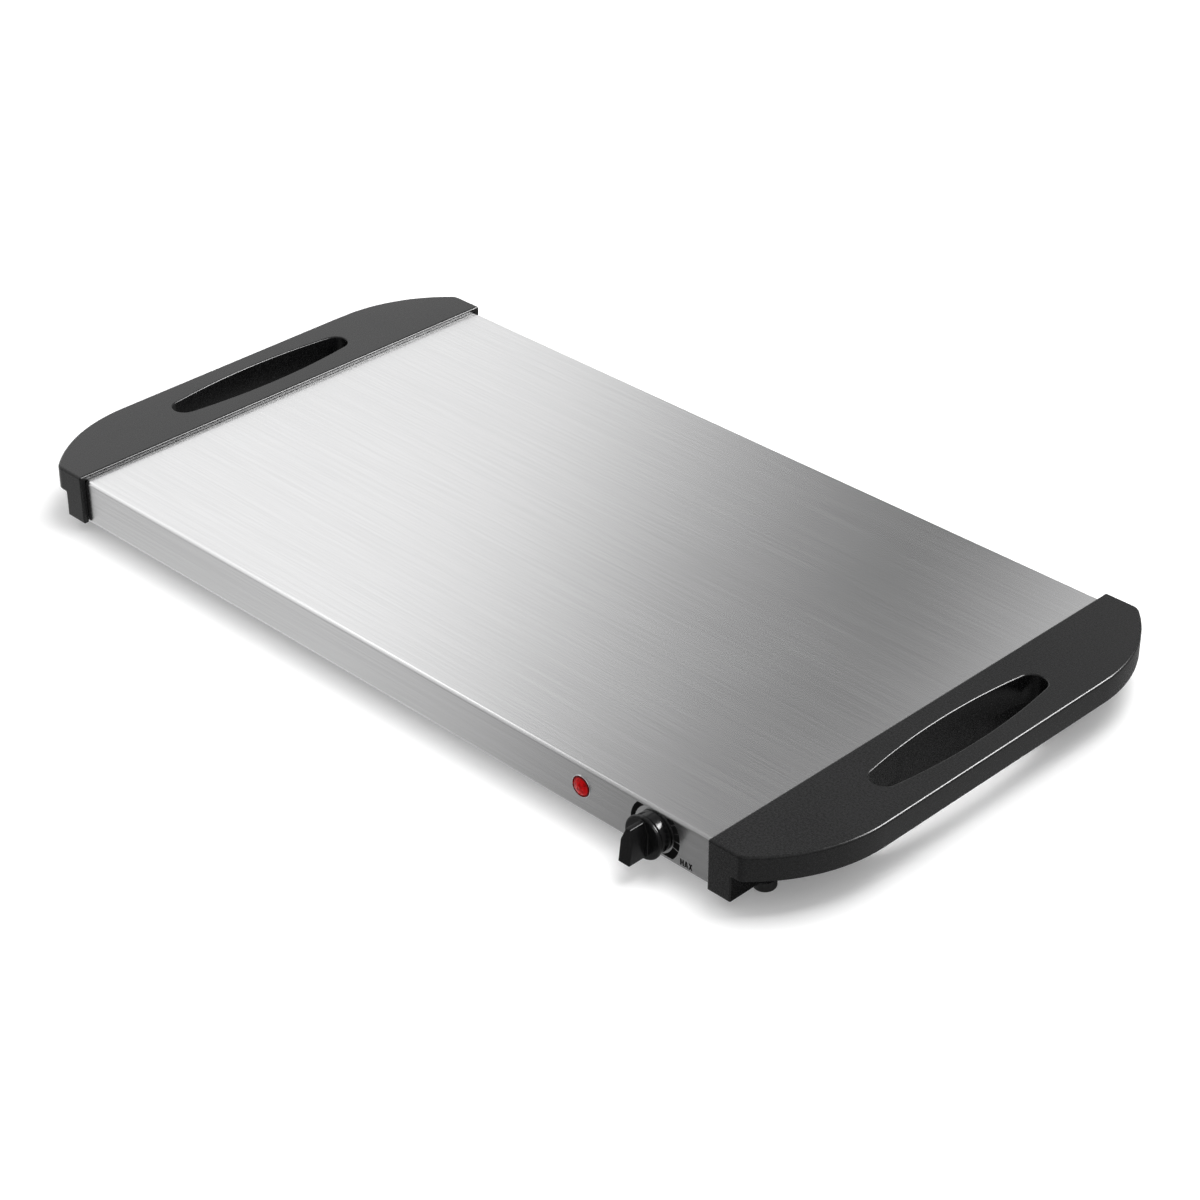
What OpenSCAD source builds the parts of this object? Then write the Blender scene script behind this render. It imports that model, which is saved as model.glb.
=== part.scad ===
// Electric food warmer tray: a folded stainless steel casing that spans two
// moulded handles on four rubber feet. A sheathed element under the top warms
// it, and a dial control and a pilot lamp sit in the front skirt.
// X runs along the tray, -Y is the front with the knob, and Z is up.

/* [Casing] */
// Length of the steel top that shows between the handles
tray_l = 570; // [520:1:640]
// Depth of the casing from front to back
tray_w = 355; // [340:1:400]
// Height of the casing from the foot of the skirt to the top
tray_h = 31.5; // [30.5:0.5:40]
// Thickness of the steel sheet
sheet_t = 0.8; // [0.6:0.1:1]
// Outer radius of the bend along the top edges
bend_r = 2.5; // [1.8:0.1:4]
// Outer radius of the bend at the foot of each skirt
hem_r = 1.8; // [1.4:0.1:2.2]
// Width of the flange that turns inwards at the foot of each skirt
hem_w = 13; // [13:0.5:16]
// Height of the casing above the table
foot_lift = 7; // [6:0.5:12]
// Thickness of the base plate
base_t = 0.8; // [0.6:0.1:1.2]

/* [Handles] */
// How far each handle reaches out from the end of the visible steel
handle_out = 60; // [58:1:70]
// How far a handle stands proud of the casing at the front and the back
handle_proud = 4.1; // [3:0.1:6]
// How far a handle stands above the steel top
handle_rise = 3.4; // [3:0.1:5]
// Thickness of the grip at its outer edge
grip_t = 16.9; // [14:0.1:20]
// Width of the leg that runs under the inner side of the grip
leg_w = 17.5; // [16.5:0.5:17.5]
// Wall thickness of the moulding
wall_t = 3; // [2.4:0.1:3.1]
// Radius of the small corners in plan
corner_r = 9; // [7:0.5:12]
// Radius of the large curve that leads into the outer side in plan
side_r = 109; // [104:1:116]
// Length at each end of the handle over which the outer side is curved
side_curve = 80.5; // [77:0.5:84]
// Length of casing that sits inside each handle
tuck = 6; // [5:0.5:6]
// Gap between the casing and the pocket that holds it
fit_gap = 0.25; // [0.15:0.05:0.4]

/* [Finger slots] */
// Length of the finger slot
slot_l = 154.5; // [130:0.5:170]
// Width of the finger slot at its middle
slot_w = 28.8; // [26:0.2:30]
// Radius of the ends of the finger slot
slot_end_r = 9; // [7:0.5:10]
// Distance from the inner face of the handle to the middle of the slot
slot_mid = 30.5; // [30:0.5:33]
// Thickness of the wall round the slot under the grip
liner_t = 2.4; // [2:0.1:3]
// How far that wall reaches down below the grip
liner_drop = 3.6; // [0:0.1:5]
// Thickness of the ribs under the grip
rib_t = 2; // [1.5:0.1:3]
// Distance between the ribs under the grip
rib_pitch = 40; // [30:1:50]

/* [Feet] */
// Radius of a foot
foot_r = 7.2; // [6.8:0.1:7.8]
// Radius of the rounded lower edge of a foot
foot_edge_r = 2; // [1:0.1:2.2]
// Distance from the inner face of the handle to the middle of a foot
foot_in = 14.6; // [14.5:0.1:15.5]
// Distance from the end of the handle to the middle of a foot
foot_from_end = 32; // [28:0.5:45]
// Radius of the post above each foot
post_r = 7.8; // [7.8:0.1:7.9]
// Thickness of rubber under the post that the foot screw clamps
foot_web_t = 3.8; // [3:0.1:4.2]

/* [Knob and dial] */
// Distance from the right end of the visible steel to the knob's axis
dial_inset = 44; // [41:0.5:50]
// Radius of the knob's front disc
disc_r = 14; // [12.5:0.1:14.5]
// Radius of the knob's body behind the disc
knob_r = 13; // [11.6:0.1:13.5]
// Distance from the panel to the back of the knob
knob_gap = 0.8; // [0.5:0.1:1.2]
// Distance from the panel to the face of the disc
disc_reach = 10.5; // [10:0.1:12]
// Thickness of the disc at its rim
disc_t = 2.6; // [2:0.1:3]
// Width of the groove behind the disc
groove_w = 0.7; // [0.5:0.1:1]
// Depth of the groove behind the disc
groove_d = 0.6; // [0.4:0.1:0.8]
// Reach of the grip fin from the panel at its pointed top
fin_top_reach = 21.9; // [20:0.1:23]
// Reach of the grip fin from the panel at its foot
fin_foot_reach = 25.2; // [24:0.1:27]
// Height of the fin's point above the knob's axis
fin_up = 12; // [10:0.1:12.2]
// Depth of the fin's foot below the knob's axis
fin_down = 10.2; // [9:0.1:12]
// Widest width of the fin
fin_w = 9.2; // [8.4:0.1:10]
// Width of the fin at its point
fin_tip_w = 3.2; // [2:0.1:4]
// Width of the fin at its foot
fin_foot_w = 8.7; // [7.5:0.1:10]
// Height of the fin's shoulders above the knob's axis
fin_shoulder = 4; // [2:0.1:6]
// Radius of the control shaft
shaft_r = 3; // [2.8:0.05:3.1]
// Running gap round the control shaft
shaft_gap = 0.05; // [0.03:0.01:0.08]
// Depth of the flat on the shaft
shaft_flat = 1; // [0.6:0.1:1.2]

/* [Pilot lamp] */
// Distance from the right end of the visible steel to the lamp
lamp_inset = 102.5; // [98:0.5:125]
// Depth of the lamp below the steel top
lamp_drop = 14.6; // [13:0.1:16]
// Radius of the lamp's lens
lens_r = 6.7; // [6.3:0.1:7.5]
// Height of the lens above the panel at its middle
lens_h = 2.2; // [1.6:0.1:3]
// Height of the lens's rim
lens_rim = 0.8; // [0.6:0.1:1]
// Width of the thin ring round the lens
bezel_w = 0.5; // [0.4:0.1:0.8]
// Height of the thin ring round the lens
bezel_h = 0.5; // [0.3:0.05:0.6]
// Radius of the lamp's barrel
barrel_r = 5; // [4.4:0.1:5.2]
// Length of the lamp's barrel inside the panel
barrel_l = 16; // [12:0.5:18]

/* [Heating pack] */
// Length of the control bay at the right end
bay_l = 88; // [84:1:100]
// Gap between the heating pack and the walls of the casing
pack_gap = 27; // [24:1:34]
// Thickness of the aluminium heat spreader
spreader_t = 2; // [1:0.1:2.5]
// Radius of the sheathed element
element_r = 3.3; // [2.8:0.1:3.5]
// Distance from the side of the pack to the first run of the element
run_edge = 45; // [38:1:50]
// Distance from the ends of the pack to the element
element_inset = 12; // [10:1:18]
// Number of straight runs of the element
run_n = 4; // [4, 6]
// Radius of the terminal pins
pin_r = 1.5; // [1.2:0.1:1.8]
// Length of the terminal pins
pin_l = 12; // [9:0.5:14]
// Length of the ceramic beads round the pins
bead_l = 4; // [3:0.5:6]
// Distance between the clip bars
clip_pitch = 140; // [110:1:150]
// Width of a clip bar
clip_w = 12; // [8:0.5:16]
// Thickness of a clip bar
clip_t = 1; // [0.8:0.1:1.2]
// Thickness of the insulation board
board_t = 12; // [8:0.5:13]
// Thickness of the reflecting foil on the board
foil_t = 0.3; // [0.2:0.05:0.5]
// Radius of the thermal fuse
fuse_r = 2.2; // [1.8:0.1:2.6]
// Length of the thermal fuse
fuse_l = 12; // [10:0.5:15]

/* [Control and wiring] */
// Width of the control's body
control_w = 26; // [22:0.5:30]
// Height of the control's body
control_h = 20; // [16:0.5:20]
// Depth of the control's body
control_d = 20; // [16:0.5:24]
// Thickness of the control's mounting plate
plate_t = 1.2; // [0.8:0.1:1.5]
// Radius of the control's threaded bushing
bushing_r = 4.4; // [4:0.1:4.8]
// Reach of the bushing in front of the panel
bushing_reach = 4; // [3.5:0.1:4.2]
// Width across the flats of the bushing's nut
nut_af = 12; // [11:0.5:13]
// Thickness of the bushing's nut
nut_t = 2; // [1.5:0.1:2.2]
// Width of a brass tab
tab_w = 6.3; // [4.8:0.1:6.5]
// Thickness of a brass tab
tab_t = 0.8; // [0.6:0.1:1]
// Length of a brass tab
tab_l = 8; // [6:0.5:9]
// Distance from the right end of the visible steel to the cord gland
gland_inset = 60; // [52:0.5:64]
// Radius of the gland's bore
gland_bore_r = 3.9; // [3:0.1:4.2]
// Radius of the gland's barrel
gland_r = 6.3; // [6:0.1:6.8]
// Radius of the gland's flange
gland_flange_r = 9; // [8:0.1:10]
// Thickness of the gland's flange
gland_flange_t = 3; // [2:0.1:4]
// Reach of the gland behind the casing
gland_reach = 9; // [7:0.5:12]
// Length of the gland inside the casing
gland_in = 11; // [9:0.5:14]
// Distance between the poles of the terminal block
pole_pitch = 10; // [9.6:0.1:11]
// Depth of the terminal block
block_w = 20; // [18:0.5:24]
// Height of the terminal block
block_h = 13; // [11.5:0.5:15]
// Distance from the rear skirt to the middle of the terminal block
block_in = 45; // [40:1:55]
// Gap between the heating pack and the terminal block
block_gap = 6; // [4:0.5:9]
// Radius of the insulated leads
lead_r = 1.25; // [1:0.05:1.3]

/* [Screws] */
// Radius of the shank of the casing and handle screws
screw_r = 1.6; // [1.4:0.1:1.8]
// Radius of the head of the casing and handle screws
screw_head_r = 3.2; // [2.8:0.1:3.6]
// Height of the heads of the screws
screw_head_h = 1.9; // [1.5:0.1:2.1]
// Distance from the skirt to the line of screws
screw_in = 8; // [7.6:0.1:8.2]
// Distance between the screws along the base plate
screw_pitch = 130; // [110:1:140]
// Distance from the handle's inner face to its screws
tongue_screw_in = 6; // [5:0.5:8]
// Length of the tongue that the handle pushes into the casing
tongue_l = 12; // [11:0.5:15]
// Radius of the shank of the foot screws
foot_screw_r = 1.9; // [1.6:0.1:2.1]
// Radius of the head of the foot screws
foot_head_r = 3.2; // [3:0.1:3.3]
// Gap round a screw in a hole that it passes through
screw_gap = 0.25; // [0.15:0.05:0.3]

/* [Hidden] */
$fn = 64;

// Heights
skirt_z = foot_lift;
top_z = skirt_z + tray_h;
handle_top = top_z + handle_rise;
grip_z = handle_top - grip_t;
hem_top = skirt_z + sheet_t;
base_top = hem_top + base_t;
spreader_z = top_z - sheet_t - spreader_t;
touch = 0.05;                       // gap where a round face lies on a flat one
element_z = spreader_z - touch - element_r;
clip_z = element_z - element_r - touch - clip_t;

// Plan
end_x = tray_l / 2;
half_w = tray_w / 2;
inner_w = half_w - sheet_t;         // inner face of each skirt
cap_half = half_w + handle_proud;
pocket_half = half_w + fit_gap;
past = 1;                           // how far a cut runs past the face it opens
stop_gap = 0.5;                     // gap between the casing's end and its stop
floor_t = 2;                        // floor of the leg outside the casing
screw_y = half_w - screw_in;
foot_y = cap_half - foot_from_end;
front_reach = half_w + fin_foot_reach;
back_reach = half_w + gland_reach;
centring = (front_reach - back_reach) / 2;

// Panel pieces
dial_x = end_x - dial_inset;
dial_z = skirt_z + tray_h / 2;
lamp_x = end_x - lamp_inset;
lamp_z = top_z - lamp_drop;
plate_back = sheet_t + plate_t;
control_back = plate_back + control_d;
nut_r = nut_af / 2 / cos(30);
nut_room = 2;                       // room round the nut behind the knob
hollow_r = nut_r + nut_room;
hollow_gap = 1.2;                   // room in front of the bushing
hollow_reach = bushing_reach + hollow_gap;
shaft_in = 11;                      // length of the shaft behind the panel
shaft_reach = 16.5;
tab_x = 6;
tab_z = 3;

// Heating pack
pack_x0 = -end_x + pack_gap;
pack_x1 = end_x - bay_l;
pack_half = half_w - pack_gap;
pack_mid = (pack_x0 + pack_x1) / 2;
run_pitch = 2 * (pack_half - run_edge) / (run_n - 1);
bend_in = run_pitch / 2;            // radius of the element's bends
bend_thin = 0.05;                   // how much the sheath thins where it is bent
bend_lap = 0.2;                     // how far a straight run reaches into its bend
element_x0 = pack_x0 + element_inset + bend_in + element_r;
element_x1 = pack_x1 - element_inset - bend_in - element_r;
element_end = pack_x1 - element_inset;
pin_x = element_end + pin_l;
fuse_inset = 13;
fuse_x = pack_x1 - fuse_inset;
fuse_y = -(run_y(run_n - 1) + run_y(run_n - 2)) / 2;
fuse_z = spreader_z - touch - fuse_r;
fuse_pin_l = 4;
fuse_clip_w = 6;
fuse_clip_t = 0.8;

// Wiring
gland_x = end_x - gland_inset;
block_y = half_w - block_in;
pole_n = 4;
pole_r = 2.1;
pole_up = 4.6;                      // height of the poles above the base plate
pole_z = base_top + pole_up;
block_end = 2;                      // ceramic past the outer poles
block_l = pole_n * pole_pitch + 2 * block_end;
block_x = pack_x1 + block_gap + block_l / 2;
lead_in = 6;                        // length of a lead's end inside the block
lead_out = 8;                       // length that runs straight out of the block
lead_straight = 4;                  // length that runs straight from other terminals
block_front = block_y - block_w / 2;
earth_gap = 16;                     // from the block to the earth stud
earth_back = 8;                     // from the block's middle line to the stud
earth_x = block_x + block_l / 2 + earth_gap;
earth_y = block_y + earth_back;
stud_r = 2;
stud_l = 9;
stud_head_t = 1;
earth_nut_r = 3.9;
earth_nut_t = 3;
tag_t = 0.8;
tag_r = 4.2;
tag_w = 3.2;
lane_z = pole_z;                    // height at which the leads cross the bay

// Leg and tongue
tongue_w = 9;
tongue_h = 9;
thread_bite = 0.02;
boss_r = screw_r - thread_bite;     // pilot hole that the thread bites into
screw_past = 4;                     // how far a screw reaches past the base plate
vent_l = 44;
vent_w = 3;
vent_pitch = 11;
vent_n = 7;

// Colours
steel = [0.80, 0.80, 0.81];
zinc = [0.66, 0.68, 0.70];
black_plastic = [0.12, 0.12, 0.13];
rubber = [0.07, 0.07, 0.07];
brass = [0.78, 0.62, 0.30];
ceramic = [0.90, 0.88, 0.82];
aluminium = [0.75, 0.76, 0.78];

// ---------- shared geometry ----------

// Points on an arc from angle a0 up to, and without, angle a1
function arc(c, r, a0, a1, n) =
    [for (i = [0:n - 1]) c + r * [cos(a0 + (a1 - a0) * i / n), sin(a0 + (a1 - a0) * i / n)]];

function flipped(p) = [for (i = [len(p) - 1:-1:0]) p[i]];

// The same points in reverse order on the other side of the X axis
function mirrored_y(p) = [for (q = flipped(p)) [q.x, -q.y]];

// The same points in reverse order on the other side of the Y axis
function mirrored_x(p) = [for (q = flipped(p)) [-q.x, q.y]];

function unit(v) = v / norm(v);

module placed() {
    translate([0, centring, 0]) children();
}

// Stands children on the front panel at x, z: their +Z points to the front
module on_front(x, z) {
    placed() translate([x, -half_w, z]) rotate([90, 0, 0]) children();
}

// Stands children on the rear skirt at x, z: their +Z points to the back
module on_back(x, z) {
    placed() translate([x, half_w, z]) rotate([-90, 0, 0]) children();
}

module ring(r_out, r_in, h) {
    difference() {
        cylinder(h = h, r = r_out);
        translate([0, 0, -past]) cylinder(h = h + 2 * past, r = r_in);
    }
}

module hex_nut(r, bore, h) {
    difference() {
        cylinder(h = h, r = r, $fn = 6);
        translate([0, 0, -past]) cylinder(h = h + 2 * past, r = bore);
    }
}

// A screw that points up, with the underside of its head at z = 0
module screw_up(shank_r, shank_l, head_r, head_h) {
    cylinder(h = shank_l, r = shank_r);
    translate([0, 0, -head_h]) cylinder(h = head_h, r = head_r);
}

// The four places of something that repeats at both ends, front and back
module four_places(x, y) {
    for (sx = [-1, 1], sy = [-1, 1]) translate([sx * x, sy * y, 0]) children();
}

module base_screw_places() {
    for (i = [-1.5:1:1.5], sy = [-1, 1]) translate([i * screw_pitch, sy * screw_y, 0]) children();
}

// ---------- casing ----------

// Half of the folded section, moved inwards by g
function section_half(g) = concat(
    [[-half_w + hem_w, skirt_z + g]],
    arc([-half_w + hem_r, skirt_z + hem_r], hem_r - g, 270, 180, 6),
    [[-half_w + g, skirt_z + hem_r]],
    arc([-half_w + bend_r, top_z - bend_r], bend_r - g, 180, 90, 8),
    [[-half_w + bend_r, top_z - g]]);

function section_loop(g) = concat(section_half(g), mirrored_x(section_half(g)));

module top_plate() {
    difference() {
        placed() color(steel) rotate([90, 0, 90])
            linear_extrude(tray_l + 2 * tuck, center = true)
                polygon(concat(section_loop(0), flipped(section_loop(sheet_t))));
        on_front(dial_x, dial_z) through_panel(bushing_r + screw_gap);
        on_front(lamp_x, lamp_z) through_panel(barrel_r + screw_gap);
        on_back(gland_x, dial_z) through_panel(gland_r + screw_gap);
        placed() base_screw_places() through_hem();
        placed() four_places(end_x - tongue_screw_in, screw_y) through_hem();
    }
}

module through_panel(r) {
    translate([0, 0, -sheet_t - past]) cylinder(h = sheet_t + 2 * past, r = r);
}

module through_hem() {
    translate([0, 0, skirt_z - past]) cylinder(h = sheet_t + 2 * past, r = screw_r + screw_gap);
}

// Cut from the base plate's corners round the handles' tongues
base_half_l = end_x + tuck - stop_gap;
base_half_w = inner_w - hem_r;
notch_x = end_x - tongue_l - screw_gap;
notch_y = screw_y - tongue_w / 2 - screw_gap;

module base_plate() {
    placed() color(zinc) difference() {
        translate([-base_half_l, -base_half_w, hem_top])
            cube([2 * base_half_l, 2 * base_half_w, base_t]);
        for (sx = [-1, 1], sy = [-1, 1])
            translate([sx * (notch_x + end_x / 2), sy * (notch_y + half_w / 2), base_top])
                cube([end_x, half_w, 4 * base_t], center = true);
        base_screw_places() translate([0, 0, hem_top - past])
            cylinder(h = base_t + 2 * past, r = boss_r + touch);
        for (i = [0:vent_n - 1])
            translate([pack_x1 + bay_l / 2 - vent_l / 2, (i - (vent_n - 1) / 2) * vent_pitch, hem_top - past])
                vent_slot();
        translate([block_x, block_y, hem_top - past])
            cylinder(h = base_t + 2 * past, r = boss_r + touch);
    }
}

module vent_slot() {
    translate([0, -vent_w / 2, 0]) cube([vent_l, vent_w, base_t + 2 * past]);
}

// ---------- handles ----------

// Plan of a handle, moved outwards by g. Its inner face lies on x = 0.
side_c = [handle_out - side_r, -cap_half + side_curve];
corner_c = [side_c.x + sqrt(pow(side_r - corner_r, 2) - pow(cap_half - corner_r + side_c.y, 2)),
    -cap_half + corner_r];
corner_a = atan2(corner_c.y - side_c.y, corner_c.x - side_c.x);

function cap_half_plan(g) = concat(
    [[0, -cap_half - g]],
    arc(corner_c, corner_r + g, -90, corner_a, 7),
    arc(side_c, side_r + g, corner_a, 0, 14),
    [[side_c.x + side_r + g, side_c.y]]);

function cap_plan(g) = concat(cap_half_plan(g), mirrored_y(cap_half_plan(g)));

// Plan of the finger slot, moved outwards by g: two long arcs and round ends
slot_half_w = slot_w / 2;
slot_end_y = slot_l / 2 - slot_end_r;
slot_side_r = (pow(slot_end_y, 2) / (slot_half_w - slot_end_r) + slot_end_r + slot_half_w) / 2;
slot_a = asin(slot_end_y / (slot_side_r - slot_end_r));

function slot_plan(g) = concat(
    arc([slot_mid + slot_half_w - slot_side_r, 0], slot_side_r + g, -slot_a, slot_a, 16),
    arc([slot_mid, slot_end_y], slot_end_r + g, slot_a, 180 - slot_a, 10),
    arc([slot_mid - slot_half_w + slot_side_r, 0], slot_side_r + g, 180 - slot_a, 180 + slot_a, 16),
    arc([slot_mid, -slot_end_y], slot_end_r + g, 180 + slot_a, 360 - slot_a, 10));

// A handle whose inner face lies on x = 0 and which reaches out along +X
module handle() {
    difference() {
        union() {
            difference() {
                handle_form();
                casing_pocket();
                grip_hollow();
            }
            slot_liner();
            grip_ribs();
            for (sy = [-1, 1]) {
                foot_post(sy);
                tongue(sy);
            }
        }
        translate([0, 0, -past]) linear_extrude(handle_top + 2 * past) polygon(slot_plan(0));
        for (sy = [-1, 1]) {
            translate([foot_in, sy * foot_y, skirt_z - past])
                cylinder(h = post_bore_l + past, r = foot_screw_r - touch);
            translate([-tongue_screw_in, sy * screw_y, hem_top - past])
                cylinder(h = tongue_h - floor_t + past, r = boss_r);
        }
    }
}

post_bore_l = 14;

module handle_form() {
    translate([0, 0, grip_z]) linear_extrude(grip_t) polygon(cap_plan(0));
    translate([0, -cap_half, skirt_z]) cube([leg_w, 2 * cap_half, handle_top - skirt_z]);
}

// The casing's end sits in the first part, and the rest makes the leg hollow
module casing_pocket() {
    pocket_l = tuck + stop_gap;
    pocket_top = top_z + fit_gap;
    translate([-past, -pocket_half, skirt_z - past])
        cube([past + pocket_l, 2 * pocket_half, pocket_top - skirt_z + past]);
    translate([0, -pocket_half, skirt_z + floor_t])
        cube([leg_w - wall_t, 2 * pocket_half, pocket_top - skirt_z - floor_t]);
}

module grip_hollow() {
    difference() {
        translate([0, 0, grip_z - past]) linear_extrude(grip_t - wall_t + past) polygon(cap_plan(-wall_t));
        translate([-past, -2 * cap_half, 0]) cube([leg_w + past, 4 * cap_half, handle_top + past]);
    }
}

module slot_liner() {
    translate([0, 0, grip_z - liner_drop]) linear_extrude(grip_t + liner_drop) intersection() {
        polygon(slot_plan(liner_t));
        polygon(cap_plan(0));
    }
}

module grip_ribs() {
    rib_n = floor((cap_half - 2 * wall_t) / rib_pitch);
    intersection() {
        translate([0, 0, grip_z + floor_t]) linear_extrude(grip_t - floor_t - wall_t / 2) polygon(cap_plan(-wall_t / 2));
        for (i = [-rib_n:rib_n])
            translate([leg_w - wall_t / 2, i * rib_pitch - rib_t / 2, grip_z])
                cube([handle_out, rib_t, grip_t]);
    }
}

// Post that takes the foot's screw
module foot_post(sy) {
    translate([foot_in, sy * foot_y, skirt_z]) cylinder(h = handle_top - wall_t / 2 - skirt_z, r = post_r);
}

// Tongue that slides into the casing over its flange
module tongue(sy) {
    translate([-tongue_l, sy * screw_y - tongue_w / 2, hem_top])
        cube([tongue_l + leg_w - wall_t / 2, tongue_w, tongue_h]);
}

module left_handle() {
    placed() color(black_plastic) translate([-end_x, 0, 0]) mirror([1, 0, 0]) handle();
}

module right_handle() {
    placed() color(black_plastic) translate([end_x, 0, 0]) handle();
}

// ---------- feet and screws ----------

recess_gap = 0.4;                   // gap round the screw's head in the foot
foot_recess_r = foot_head_r + recess_gap;

module foot(sx, sy) {
    placed() color(rubber) translate([sx * (end_x + foot_in), sy * foot_y, 0]) rotate_extrude()
        polygon(concat(
            [[foot_recess_r, 0]],
            arc([foot_r - foot_edge_r, foot_edge_r], foot_edge_r, -90, 0, 6),
            [[foot_r, foot_edge_r], [foot_r, foot_lift], [foot_screw_r + screw_gap, foot_lift],
                [foot_screw_r + screw_gap, foot_lift - foot_web_t], [foot_recess_r, foot_lift - foot_web_t]]));
}

module front_left_foot() foot(-1, -1);
module front_right_foot() foot(1, -1);
module back_left_foot() foot(-1, 1);
module back_right_foot() foot(1, 1);

module foot_screws() {
    placed() color(zinc) four_places(end_x + foot_in, foot_y) translate([0, 0, foot_lift - foot_web_t])
        screw_up(foot_screw_r - 2 * touch, foot_web_t + post_bore_l - past, foot_head_r, screw_head_h);
}

module handle_screws() {
    placed() color(zinc) four_places(end_x - tongue_screw_in, screw_y) translate([0, 0, skirt_z])
        screw_up(boss_r - touch, sheet_t + tongue_h - floor_t - past, screw_head_r, screw_head_h);
}

module base_screws() {
    placed() color(zinc) base_screw_places() translate([0, 0, skirt_z])
        screw_up(boss_r, sheet_t + base_t + screw_past, screw_head_r, screw_head_h);
}

// ---------- knob and control ----------

module knob() {
    groove_reach = disc_reach - disc_t;
    edge = disc_t / 4;
    color(black_plastic) on_front(dial_x, dial_z) difference() {
        union() {
            rotate_extrude() polygon([[0, knob_gap], [knob_r, knob_gap],
                [knob_r, groove_reach - groove_w], [knob_r - groove_d, groove_reach - groove_w],
                [knob_r - groove_d, groove_reach], [disc_r - edge, groove_reach],
                [disc_r, groove_reach + edge], [disc_r, disc_reach - edge],
                [disc_r - edge, disc_reach], [0, disc_reach]]);
            fin();
        }
        cylinder(h = hollow_reach, r = hollow_r);
        shaft_form(hollow_reach - past, shaft_reach + 2 * shaft_gap, shaft_gap);
    }
}

// Grip fin with a pointed top, seen from the front and from the side
module fin() {
    side = concat([[-fin_foot_w / 2, -fin_down], [-fin_w / 2, fin_shoulder], [-fin_tip_w / 2, fin_up]]);
    intersection() {
        translate([0, 0, disc_reach - past]) linear_extrude(fin_foot_reach)
            polygon(concat(side, mirrored_x(side)));
        rotate([90, 0, 90]) translate([0, 0, -fin_w]) linear_extrude(2 * fin_w)
            polygon([[-fin_down - past, 0], [fin_up + past, 0], [fin_up, fin_top_reach],
                [-fin_down, fin_foot_reach], [-fin_down - past, fin_foot_reach]]);
    }
}

// The shaft from one reach to another, grown by g, with its flat upwards
module shaft_form(from, to, g) {
    difference() {
        translate([0, 0, from]) cylinder(h = to - from, r = shaft_r + g);
        translate([-2 * shaft_r, shaft_r - shaft_flat + g, max(from - past, hollow_reach - past)])
            cube([4 * shaft_r, 2 * shaft_r, to - from + 2 * past + shaft_reach]);
    }
}

module control_shaft() {
    color(zinc) on_front(dial_x, dial_z) shaft_form(-shaft_in, shaft_reach, 0);
}

module control_bushing() {
    color(brass) on_front(dial_x, dial_z) translate([0, 0, -plate_back])
        ring(bushing_r, shaft_r + shaft_gap, plate_back + bushing_reach);
}

module control_nut() {
    color(zinc) on_front(dial_x, dial_z) hex_nut(nut_r, bushing_r + touch, nut_t);
}

plate_ear = 4;                      // how far the plate reaches past the control

module control_plate() {
    color(zinc) on_front(dial_x, dial_z) difference() {
        translate([-control_w / 2 - plate_ear, -control_h / 2, -plate_back])
            cube([control_w + 2 * plate_ear, control_h, plate_t]);
        translate([0, 0, -plate_back - past]) cylinder(h = plate_t + 2 * past, r = bushing_r + touch);
    }
}

module control_body() {
    color(ceramic) on_front(dial_x, dial_z) difference() {
        translate([-control_w / 2, -control_h / 2, -control_back]) cube([control_w, control_h, control_d]);
        translate([0, 0, -shaft_in - past]) cylinder(h = shaft_in + past, r = shaft_r + shaft_gap);
    }
}

module control_tabs() {
    color(brass) on_front(dial_x, dial_z) for (sx = [-1, 1])
        translate([sx * tab_x - tab_t / 2, tab_z - tab_w / 2, -control_back - tab_l]) cube([tab_t, tab_w, tab_l]);
}

// ---------- pilot lamp ----------

module lamp_lens() {
    dome_h = lens_h - lens_rim;
    dome_r = (pow(lens_r, 2) + pow(dome_h, 2)) / 2 / dome_h;
    dome_a = asin(lens_r / dome_r);
    color([0.55, 0.03, 0.05]) on_front(lamp_x, lamp_z) rotate_extrude()
        polygon(concat([[0, 0], [lens_r, 0]],
            arc([0, lens_h - dome_r], dome_r, 90 - dome_a, 90, 8), [[0, lens_h]]));
}

module lamp_ring() {
    color(steel) on_front(lamp_x, lamp_z) ring(lens_r + touch + bezel_w, lens_r + touch, bezel_h);
}

module lamp_barrel() {
    color(black_plastic) on_front(lamp_x, lamp_z) translate([0, 0, -barrel_l]) cylinder(h = barrel_l, r = barrel_r);
}

module lamp_clip() {
    clip_h = 0.7;
    clip_wide = 3.5;
    color(zinc) on_front(lamp_x, lamp_z) translate([0, 0, -sheet_t - clip_h])
        ring(barrel_r + clip_wide, barrel_r + touch, clip_h);
}

// ---------- heating pack ----------

function run_y(i) = (i - (run_n - 1) / 2) * run_pitch;

module heat_spreader() {
    placed() color(aluminium) translate([pack_x0, -pack_half, spreader_z])
        cube([pack_x1 - pack_x0, 2 * pack_half, spreader_t]);
}

// Straight runs joined by half-turn bends, with both ends in the control bay
module heating_element() {
    placed() color([0.35, 0.34, 0.33]) translate([0, 0, element_z]) {
        for (i = [0:run_n - 1]) {
            x0 = element_x0 - bend_lap;
            x1 = i == 0 || i == run_n - 1 ? element_end : element_x1 + bend_lap;
            translate([x0, run_y(i), 0]) rotate([0, 90, 0]) cylinder(h = x1 - x0, r = element_r);
        }
        for (i = [0:run_n - 2]) {
            left = i % 2 == 0;
            translate([left ? element_x0 : element_x1, run_y(i) + bend_in, 0])
                rotate([0, 0, left ? 90 : -90]) rotate_extrude(angle = 180)
                    translate([bend_in, 0]) circle(element_r - bend_thin);
        }
    }
}

module element_ends() {
    placed() for (i = [0, run_n - 1]) translate([element_end, run_y(i), element_z]) rotate([0, 90, 0]) children();
}

module element_pins() {
    color(zinc) element_ends() cylinder(h = pin_l, r = pin_r);
}

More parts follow.
